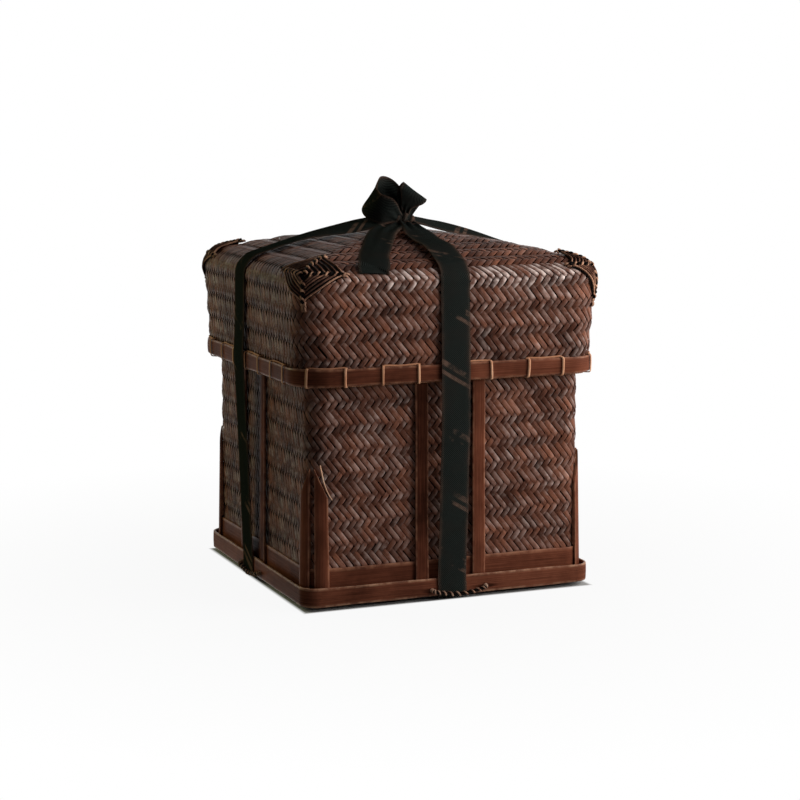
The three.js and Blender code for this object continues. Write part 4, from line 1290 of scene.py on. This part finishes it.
def corner_ear(reaches, bow):
    """The front right corner of the lid, bound with cane in a star of four ridges."""
    corner = np.array([lid_half, -lid_half, LID_EDGE_Z])
    tips = [way * reach for way, reach in zip(EAR_WAYS, reaches)]
    mesh = Mesh()
    for k in range(4):
        ends = np.array([tips[k], tips[(k + 1) % 4]])
        for row in range(EAR_ROWS):
            share = EAR_FIRST + (1 - EAR_FIRST) * row / (EAR_ROWS - 1)
            at_edge = row == EAR_ROWS - 1
            tone = EAR_EDGE_TONE if at_edge else EAR_TONE + EAR_TONE_SPREAD * random.uniform(-1, 1)
            strand = oval(EAR_STRAND_WIDTH * random.uniform(0.9, 1.1), EAR_STRAND_THICK, 8)
            ear_strand(mesh, corner, share * ends, bow, strand, tone, 0.06, EAR_STRAND_OFFSET)
            # Painted shade: a near-black flat strand under the row.
            shade_bed = oval(*EAR_BED_SIZE, 8)
            shade_bed_ends = (share - EAR_BED_BACK) * ends
            ear_strand(mesh, corner, shade_bed_ends, bow, shade_bed, EAR_SHADE_BED_TONE, 0.0, EAR_BED_OFFSET)
    for k, tip in enumerate(tips):
        along = unit(tip)
        reach = np.linalg.norm(tip)
        across = unit(tips[(k + 1) % 4] - tips[(k + 3) % 4])
        ear_ridge(mesh, corner, along, reach + 1)
        ear_end(mesh, corner, along, across, reach + END_BEYOND)
    ear_end(mesh, corner, along, across, reach + LAST_BEYOND)
    return mesh


place("lid_rim_cane", rim_lashing(), cane_material, "basket_lid", ["lid_rim_lashing"])
for k, face in enumerate(FACES):
    loop = base_loop(FACE_SHIFTS[k]).turned(k)
    place(f"base_twisted_loop_{face}", loop, ear_material, "basket_body", [f"base_cane_loop_{face}"])
for k, (label, (reaches, bow)) in enumerate(EARS.items()):
    place(f"corner_ear_{label}", corner_ear(reaches, bow).turned(k), ear_material, "basket_lid",
          [f"corner_binding_{label}"])


# Ribbon

RIBBON_OUT = GAP + RIBBON_THICK / 2
RIBBON_TOUCH = dome_half - 20.2
RIBBON_GATHER = 13
RIBBON_SPREAD = 40
FRONT_ARCHES = ((4.5, 88, 22), (3.5, 72, 36))
SIDE_ARCHES = ((2.1, 70, 36), (3.5, 72, 36))
RIBBON_ROLL = 20
ROLL_START = 20
ROLL_FADES = (100.0, 75.0)
NOTCH_Z = 4.6
LID_SIDE_STATIONS = ((1.3, 215), (1.6, 196))
SIDE_HEIGHTS = (140, 120, 100, 80, 60, 40, 25)
RAMP_REACHES = (100, 85)
LEVEL_REACHES = (74, 50, 25, 0)
RIM_CLEAR = rim_half + 1.9
RIBBON_COLUMNS = 14
LEFT_SHIFT = 12
SWAYS = ((0.35, 31.0), (0.2, 11.0))
SWAY_HEIGHTS = (12, 240)
CUP = 0.25
CUP_WAVE = (0.15, 17.0)
GATHER_PLEAT = 0.9
knot_place = (knot_low + knot_high) / 2


def half_run(start, arch, crest, reach, notched):
    """Distances out and heights of a ribbon's middle, from the knot down one side and under the floor."""
    slope = 2 * LID_DOME * RIBBON_TOUCH / dome_half ** 2
    touch_z = dome_foot + LID_DOME * (1 - (RIBBON_TOUCH / dome_half) ** 2) + RIBBON_OUT
    stations = []
    for out in np.linspace(start, (RIBBON_TOUCH + dome_half) / 2, 10):
        z = min(touch_z + slope * (RIBBON_TOUCH - out), knot_place[2] + 2)
        stations.append((out, z + arch * math.exp(-((out - crest) / reach) ** 2)))
    stand_off = arch * math.exp(-((dome_half - crest) / reach) ** 2)
    for angle in np.linspace(edge_sweep, 0, 7):
        radius = LID_EDGE + RIBBON_OUT + 0.4 + stand_off * angle / edge_sweep
        stations.append((edge_half + radius * math.cos(angle), edge_z + radius * math.sin(angle)))
    stations += [(lid_half + off, z) for off, z in LID_SIDE_STATIONS]
    stations += [(RIM_CLEAR, rim_high[2] + 3), (RIM_CLEAR + 0.3, rim_high[2] - 4)]
    stations += [(RIM_CLEAR + 0.2, rim_low[2] + 2), (RIM_CLEAR - 0.5, rim_low[2] - 8)]
    bottom = hoop_half + RIBBON_OUT + 0.2
    for z in SIDE_HEIGHTS:
        share = (z - hoop_high[2]) / (rim_low[2] - 8 - hoop_high[2])
        stations.append((bottom + (RIM_CLEAR - 0.5 - bottom) * share, z))
    stations += [(bottom, hoop_high[2] - 1), (bottom, 11), (bottom, 6.4), (bottom - 0.3, hoop_low[2] + 0.2)]
    under = hoop_low[2] - RIBBON_OUT
    level = NOTCH_Z if notched else under
    stations += [(hoop_half - 0.6, under), (hoop_half - 3, under)]
    stations += [(RAMP_REACHES[0], under), (RAMP_REACHES[1], under + 0.4 * (level - under))]
    stations += [(out, level) for out in LEVEL_REACHES]
    return np.array(stations)


def ribbon_sections(path, widths, cup, pleat, columns=RIBBON_COLUMNS, thick=RIBBON_THICK):
    """Thin sections across a ribbon, cupped a little and pleated where it is drawn together."""
    share = np.linspace(1, -1, columns + 1)
    upper = np.stack([share, np.full(columns + 1, 1.0)], -1)
    lower = np.stack([share[::-1], np.full(columns + 1, -1.0)], -1)
    outline = np.vstack([upper, lower])
    sections = np.zeros((len(path), len(outline), 2))
    sections[..., 0] = outline[:, 0] * (widths[:, None] / 2)
    wave = cup[:, None] * (1 - outline[:, 0] ** 2) + pleat[:, None] * np.cos(outline[:, 0] * 2.5 * math.pi)
    thin = thick / 2 * (1 - 0.35 * np.abs(outline[:, 0]) ** 8)
    sections[..., 1] = wave + outline[:, 1] * thin
    return sections, np.abs(outline[:, 0]) ** 10


def lengths_of(path):
    return np.concatenate([[0], np.cumsum(np.linalg.norm(np.diff(path, axis=0), axis=1))])


def ribbon_line(knot_x, knot_y, shift, arches, notched):
    """The middle line of a ribbon, from the knot down one side, under the floor and up the other side."""
    halves = []
    for towards, aside, arch in ((-1, 0, arches[0]), (1, shift, arches[1])):
        start = towards * knot_y + 3
        half = half_run(start, *arch, notched)
        out, z = half.T
        level = hoop_half - RIBBON_WIDTH
        x = np.full(len(half), float(aside))
        over = z > LID_EDGE_Z - 20
        x[over] = knot_x + (aside - knot_x) * np.clip((out[over] - start) / (dome_half - start), 0, 1)
        under = z < hoop_low[2] + 1
        x[under] = shift / 2 * (1 + towards * np.clip(out[under] / level, 0, 1))
        halves.append(np.stack([x, towards * out, z], 1))
    return smooth_path(np.vstack([halves[0], halves[1][::-1][1:]]), 4)


def ribbon_run(name, quarters, shift, arches, roll, nodes, pieces):
    """One ribbon all the way round the basket, tied at the knot."""
    turn = quarters * math.pi / 2
    knot_x = knot_place[0] * math.cos(turn) + knot_place[1] * math.sin(turn)
    knot_y = knot_place[1] * math.cos(turn) - knot_place[0] * math.sin(turn)
    path = ribbon_line(knot_x, knot_y, shift, arches, quarters == 0)
    away = np.hypot(path[:, 0] - knot_x, path[:, 1] - knot_y)
    away = np.where(path[:, 2] > LID_EDGE_Z - 6, away, 200)
    spread = smooth_step((away - 5) / (RIBBON_SPREAD - 5))
    widths = RIBBON_GATHER + (RIBBON_WIDTH - RIBBON_GATHER) * spread
    along = lengths_of(path)
    sway = SWAYS[0][0] * np.sin(along / SWAYS[0][1] + quarters) + SWAYS[1][0] * np.sin(along / SWAYS[1][1])
    path[:, 0] += sway * (path[:, 2] < SWAY_HEIGHTS[1]) * (path[:, 2] > SWAY_HEIGHTS[0])
    cup = CUP + CUP_WAVE[0] * np.sin(along / CUP_WAVE[1])
    sections, wear_and_sheen = ribbon_sections(path, widths, cup, GATHER_PLEAT * (1 - spread))
    fade = np.where(path[:, 1] < knot_y, *ROLL_FADES)
    lean = math.radians(roll) * (1 - smooth_step((away - ROLL_START) / fade))
    sides = np.stack([np.cos(lean), 0 * lean, np.sin(lean)], 1)
    mesh = swept(path, sections, sides, False, 0.5, wear_and_sheen)
    piece = place(name, mesh.turned(quarters), ribbon_material, None, nodes)
    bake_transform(piece)


VIEW_RIGHT = np.array([0.925, -0.380, 0])
VIEW_BACK = np.array([0.380, 0.925, 0])


def bow_vector(right, up, back):
    """A direction from the knot, to the right, up and back as the front left corner is seen."""
    return right * VIEW_RIGHT + back * VIEW_BACK + up * np.array([0, 0, 1])


def free_ribbon(name, stations, halves, node, pleats, cup=0.4):
    """A short length of ribbon along points, with half of its width as a direction at each of them."""
    path = smooth_path(stations, 8)
    across = smooth_path(halves, 8)
    width = np.minimum(2 * np.linalg.norm(across, axis=1), RIBBON_WIDTH)
    share = np.linspace(0, 1, len(path))
    pleat = np.interp(share, np.linspace(0, 1, len(pleats)), pleats)
    sections, wear_and_sheen = ribbon_sections(path, width, np.full(len(path), cup), pleat)
    mesh = swept(path, sections, across, False, 0.5, wear_and_sheen, random.uniform(0, 50))
    piece = place(name, mesh, ribbon_material, "basket_lid", [node])
    along = lengths_of(path)
    area = np.sum((width[1:] + width[:-1]) / 2 * np.diff(along))
    flat = (np.max(width) * MM, along[-1] * MM)
    area = min(area * MM * MM, flat[0] * flat[1])


def bow_loop(name, node, turns):
    """A loop of the bow, from places and half widths seen from the front left corner."""
    stations = [knot_place + bow_vector(*place_at) for place_at, half in turns]
    halves = [bow_vector(*half) for place_at, half in turns]
    free_ribbon(name, stations, halves, node, (1.2, 0.2, 0, 0, 0.9))


FRONT_LOOP = [
    ((-3, 2, 3), (1.5, 4, -1)), ((-7, 13, 7), (4, 9.5, 0)), ((-15, 23, 9), (2.5, 10.8, 0.5)),
    ((-22, 23.5, 5), (5.5, 9.3, -3)), ((-26, 17.5, -2), (6, 8.6, -4)), ((-22.5, 12.5, -9), (6.5, 8.3, -4)),
    ((-14, 9, -11), (6, 9.3, -2)), ((-7, 4, -7), (3, 6, -1)), ((-3, 1, -2), (1.5, 3.6, -1)),
]
RIGHT_LOOP = [
    ((1, 2, 3), (3.2, -1.5, 1)), ((2.5, 11, 5), (6.5, -3.5, 1)), ((5.5, 20.5, 4), (9.3, -6, 1)),
    ((8, 23.2, 1), (9, -6.6, 0)), ((6.6, 20, -2), (8.8, -6.4, 0)), ((2, 12, -1.5), (4.5, -1.5, -0.5)),
    ((0.5, 3, 0), (2.5, -0.5, 0)),
]
TAIL_ROUTE = [(-2, -13), (-10, -20), (-20, -31), (-31, -50), (-42, -72), (-52, -91)]
TAIL_LIFTS = (6.5, 5.5, 4, 2.6, 1.6, 1.2)
TAIL_BEND = [(-58.5, 70), (-61, 55), (-61.5, 38)]
TAIL_OFF = 1.1


def tail():
    """The free end of the ribbon, over the top of the lid and down its rounded edge."""
    above = np.array([(x, y, LID_EDGE_Z + 20) for x, y in TAIL_ROUTE])
    bent = []
    for x, degrees in TAIL_BEND:
        angle = math.radians(degrees)
        radius = LID_EDGE + TAIL_OFF
        bent.append((x, -edge_half - radius * math.cos(angle), edge_z + radius * math.sin(angle)))
    stations = np.vstack([onto_lid(above, np.array(TAIL_LIFTS)), bent])
    count = len(stations)
    turned = smooth_step((np.arange(count) - 3) / 4)[:, None]
    halves = (1 - turned) * np.array([0.88, -0.47, 0]) + turned * np.array([1.0, 0, 0])
    widths = np.array([18, 22] + [RIBBON_WIDTH] * (count - 2))
    free_ribbon("ribbon_tail_end", stations, unit(halves) * widths[:, None] / 2, "ribbon_tail",
                (1.0, 0.2, 0, 0), 0.5)


KNOT_TURN = (6.6, 6.2)
KNOT_HALVES = (8.4, 8.2)
KNOT_LIFTS = (0.8, -0.6)
KNOT_CORE = (6.9, 6.3)
KNOT_RINGS = 14
KNOT_SIDES = 28


def knot():
    """A turn of ribbon drawn tight round the crossing, over a folded core."""
    angles = np.linspace(0, 2 * math.pi, 48, endpoint=False)[:, None]
    axis = unit(bow_vector(8, -2.5, 0))
    up = unit(bow_vector(2.5, 8, 0))
    path = knot_place + np.cos(angles) * KNOT_TURN[0] * VIEW_BACK + np.sin(angles) * KNOT_TURN[1] * up
    share = np.linspace(1, -1, 25)
    fold = 0.7 * np.cos(share * 3 * math.pi) - 2.4 * np.abs(share) ** 3
    upper = np.stack([share * KNOT_HALVES[0], fold + KNOT_LIFTS[0]], -1)
    lower = np.stack([share[::-1] * KNOT_HALVES[1], fold[::-1] + KNOT_LIFTS[1]], -1)
    # Paler on the crests of the folds: partly wear and partly a painted highlight.
    wear_and_sheen = np.tile(0.5 + 0.5 * np.cos(share * 3 * math.pi), 2)
    mesh = swept(path, np.vstack([upper, lower]), axis, True, 0.5, wear_and_sheen)
    lift = math.pi * (np.arange(KNOT_RINGS + 1) / KNOT_RINGS - 0.5)[:, None]
    angle = 2 * math.pi * np.arange(KNOT_SIDES)[None] / KNOT_SIDES
    reach = KNOT_CORE[0] * np.maximum(np.cos(lift), 0.02) ** 0.7 * (1 + 0.09 * np.sin(5 * angle + 2 * lift))
    height = KNOT_CORE[1] * np.sin(lift) + 0 * angle
    core = np.stack([reach * np.cos(angle), reach * np.sin(angle), height], -1)
    points = knot_place + core.reshape(-1, 3)
    faces = ring_quads(KNOT_RINGS + 1, KNOT_SIDES)
    faces.append(list(range(KNOT_SIDES))[::-1])
    faces.append([KNOT_RINGS * KNOT_SIDES + j for j in range(KNOT_SIDES)])
    mesh.add(points, faces, np.vstack([points[face][:, [0, 2]] for face in faces]))
    return place("ribbon_knot_turn", mesh, ribbon_material, "basket_lid", ["ribbon_knot"])


def ribbon_nodes(first, second):
    """The nodes that a ribbon round two sides stands for."""
    sides = [f"ribbon_{run}_{face}" for run in ("side", "top") for face in (first, second)]
    return sides + [f"ribbon_under_{first}_{second}"]


ribbon_run("ribbon_front_back", 0, 0, FRONT_ARCHES, 0, ribbon_nodes("front", "back"), [knot()])
ribbon_run("ribbon_left_right", 1, LEFT_SHIFT, SIDE_ARCHES, RIBBON_ROLL, ribbon_nodes("left", "right"), [])
bow_loop("bow_loop_front_fold", "bow_loop_front", FRONT_LOOP)
bow_loop("bow_loop_right_fold", "bow_loop_right", RIGHT_LOOP)
tail()


# Camera, floor and light

CAMERA_PLACE = (-0.5966, -1.4672, 0.3706)
CAMERA_TILT = 8.55
CAMERA_TURN = -22.32
CAMERA_LENS = 92.4
CAMERA_SENSOR = 36

camera_data = bpy.data.cameras.new("camera")
camera_data.lens = CAMERA_LENS
camera_data.sensor_width = CAMERA_SENSOR
camera = add_object("camera", camera_data)
camera.location = CAMERA_PLACE
camera.rotation_euler = (math.radians(90 - CAMERA_TILT), 0, math.radians(CAMERA_TURN))
bpy.context.scene.camera = camera


def area_light(name, place_at, aim, size, power, colour):
    data = bpy.data.lights.new(name, "AREA")
    data.size = size
    data.energy = power
    data.color = colour
    lamp = add_object(name, data)
    lamp.location = place_at
    lamp.rotation_euler = (Vector(aim) - Vector(place_at)).to_track_quat("-Z", "Y").to_euler()


area_light("key", (0.70, -0.36, 0.38), (0, 0, 0.15), 0.45, 7.2, (1, 0.97, 0.93))
area_light("glint", (0.72, -1.0, 0.42), (0, 0, 0.18), 0.12, 2.4, (1, 0.98, 0.96))
area_light("sheen", (0.6, -0.62, 0.8), (0, -0.1, 0.24), 0.12, 2.8, (1, 0.98, 0.96))
area_light("back", (-0.9, 0.9, 0.6), (0, 0, 0.14), 0.45, 5.2, (0.96, 1, 0.5))


def seen_share(tree):
    """One where the camera looks, straight or by a reflection or through glass, and zero elsewhere."""
    path = tree.nodes.new("ShaderNodeLightPath")
    share = path.outputs["Is Camera Ray"]
    for kind in ("Is Glossy Ray", "Is Transmission Ray"):
        either = tree.nodes.new("ShaderNodeMath")
        either.operation = "MAXIMUM"
        tree.links.new(share, either.inputs[0])
        tree.links.new(path.outputs[kind], either.inputs[1])
        share = either.outputs[0]
    return share


FLOOR_REACH = 30
SHADOW_START = 0.1135
SHADOW_END = 0.1168
FLOOR_WHITE = 0.93
DIM_LIGHT = 0.07


def floor_material():
    """A pale floor that fades into the white behind it and keeps the shadow, deepest under the basket."""
    nodes = Nodes("pale_floor")
    tree = nodes.tree
    nodes.shader.inputs["Roughness"].default_value = 0.9
    grain = nodes.noise(nodes.place(), 300.0, 2.0)
    colour = nodes.mix(nodes.fit(grain, 0, 1, 0, 0.3), rgb(150, 150, 150), rgb(160, 160, 160))
    nodes.put(nodes.shader.inputs["Base Color"], colour)
    glow = nodes.add("ShaderNodeEmission", {"Color": (1, 1, 1, 1), "Strength": 1.0})
    where = nodes.add("ShaderNodeTexCoord", {}, 3)
    split = tree.nodes.new("ShaderNodeSeparateXYZ")
    nodes.put(split.inputs[0], where)
    aside = [nodes.math("ABSOLUTE", split.outputs[k]) for k in (0, 1)]
    beneath = nodes.fit(nodes.math("MAXIMUM", *aside), SHADOW_START, SHADOW_END)
    distance = nodes.add("ShaderNodeVectorMath", {0: where}, 1, operation="LENGTH")
    white = nodes.math("MULTIPLY", beneath, nodes.fit(distance, 0.15, 0.5, FLOOR_WHITE, 1.0))
    share = nodes.math("MULTIPLY", seen_share(tree), white)
    mixed = nodes.add("ShaderNodeMixShader", {0: share, 1: nodes.shader.outputs[0], 2: glow})
    tree.links.new(mixed, tree.nodes["Material Output"].inputs["Surface"])
    return nodes.material


floor_data = bpy.data.meshes.new("floor")
floor_corners = [(FLOOR_REACH * x, FLOOR_REACH * y, 0) for x, y in CORNER_SIGNS]
floor_data.from_pydata(floor_corners, [], [(0, 1, 2, 3)])
floor_data.materials.append(floor_material())
floor = add_object("floor", floor_data)
floor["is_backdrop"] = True


def white_world():
    """White where the camera and reflections look, and a dim even light on everything else."""
    world = bpy.data.worlds.new("world")
    world.use_nodes = True
    tree = world.node_tree
    back = tree.nodes["Background"]
    strength = tree.nodes.new("ShaderNodeMapRange")
    strength.inputs["To Min"].default_value = DIM_LIGHT
    strength.inputs["To Max"].default_value = 1.0
    tree.links.new(seen_share(tree), strength.inputs["Value"])
    tree.links.new(strength.outputs[0], back.inputs["Strength"])
    back.inputs["Color"].default_value = (1, 1, 1, 1)
    bpy.context.scene.world = world


white_world()
bpy.context.scene.view_settings.view_transform = "Standard"

low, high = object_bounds()
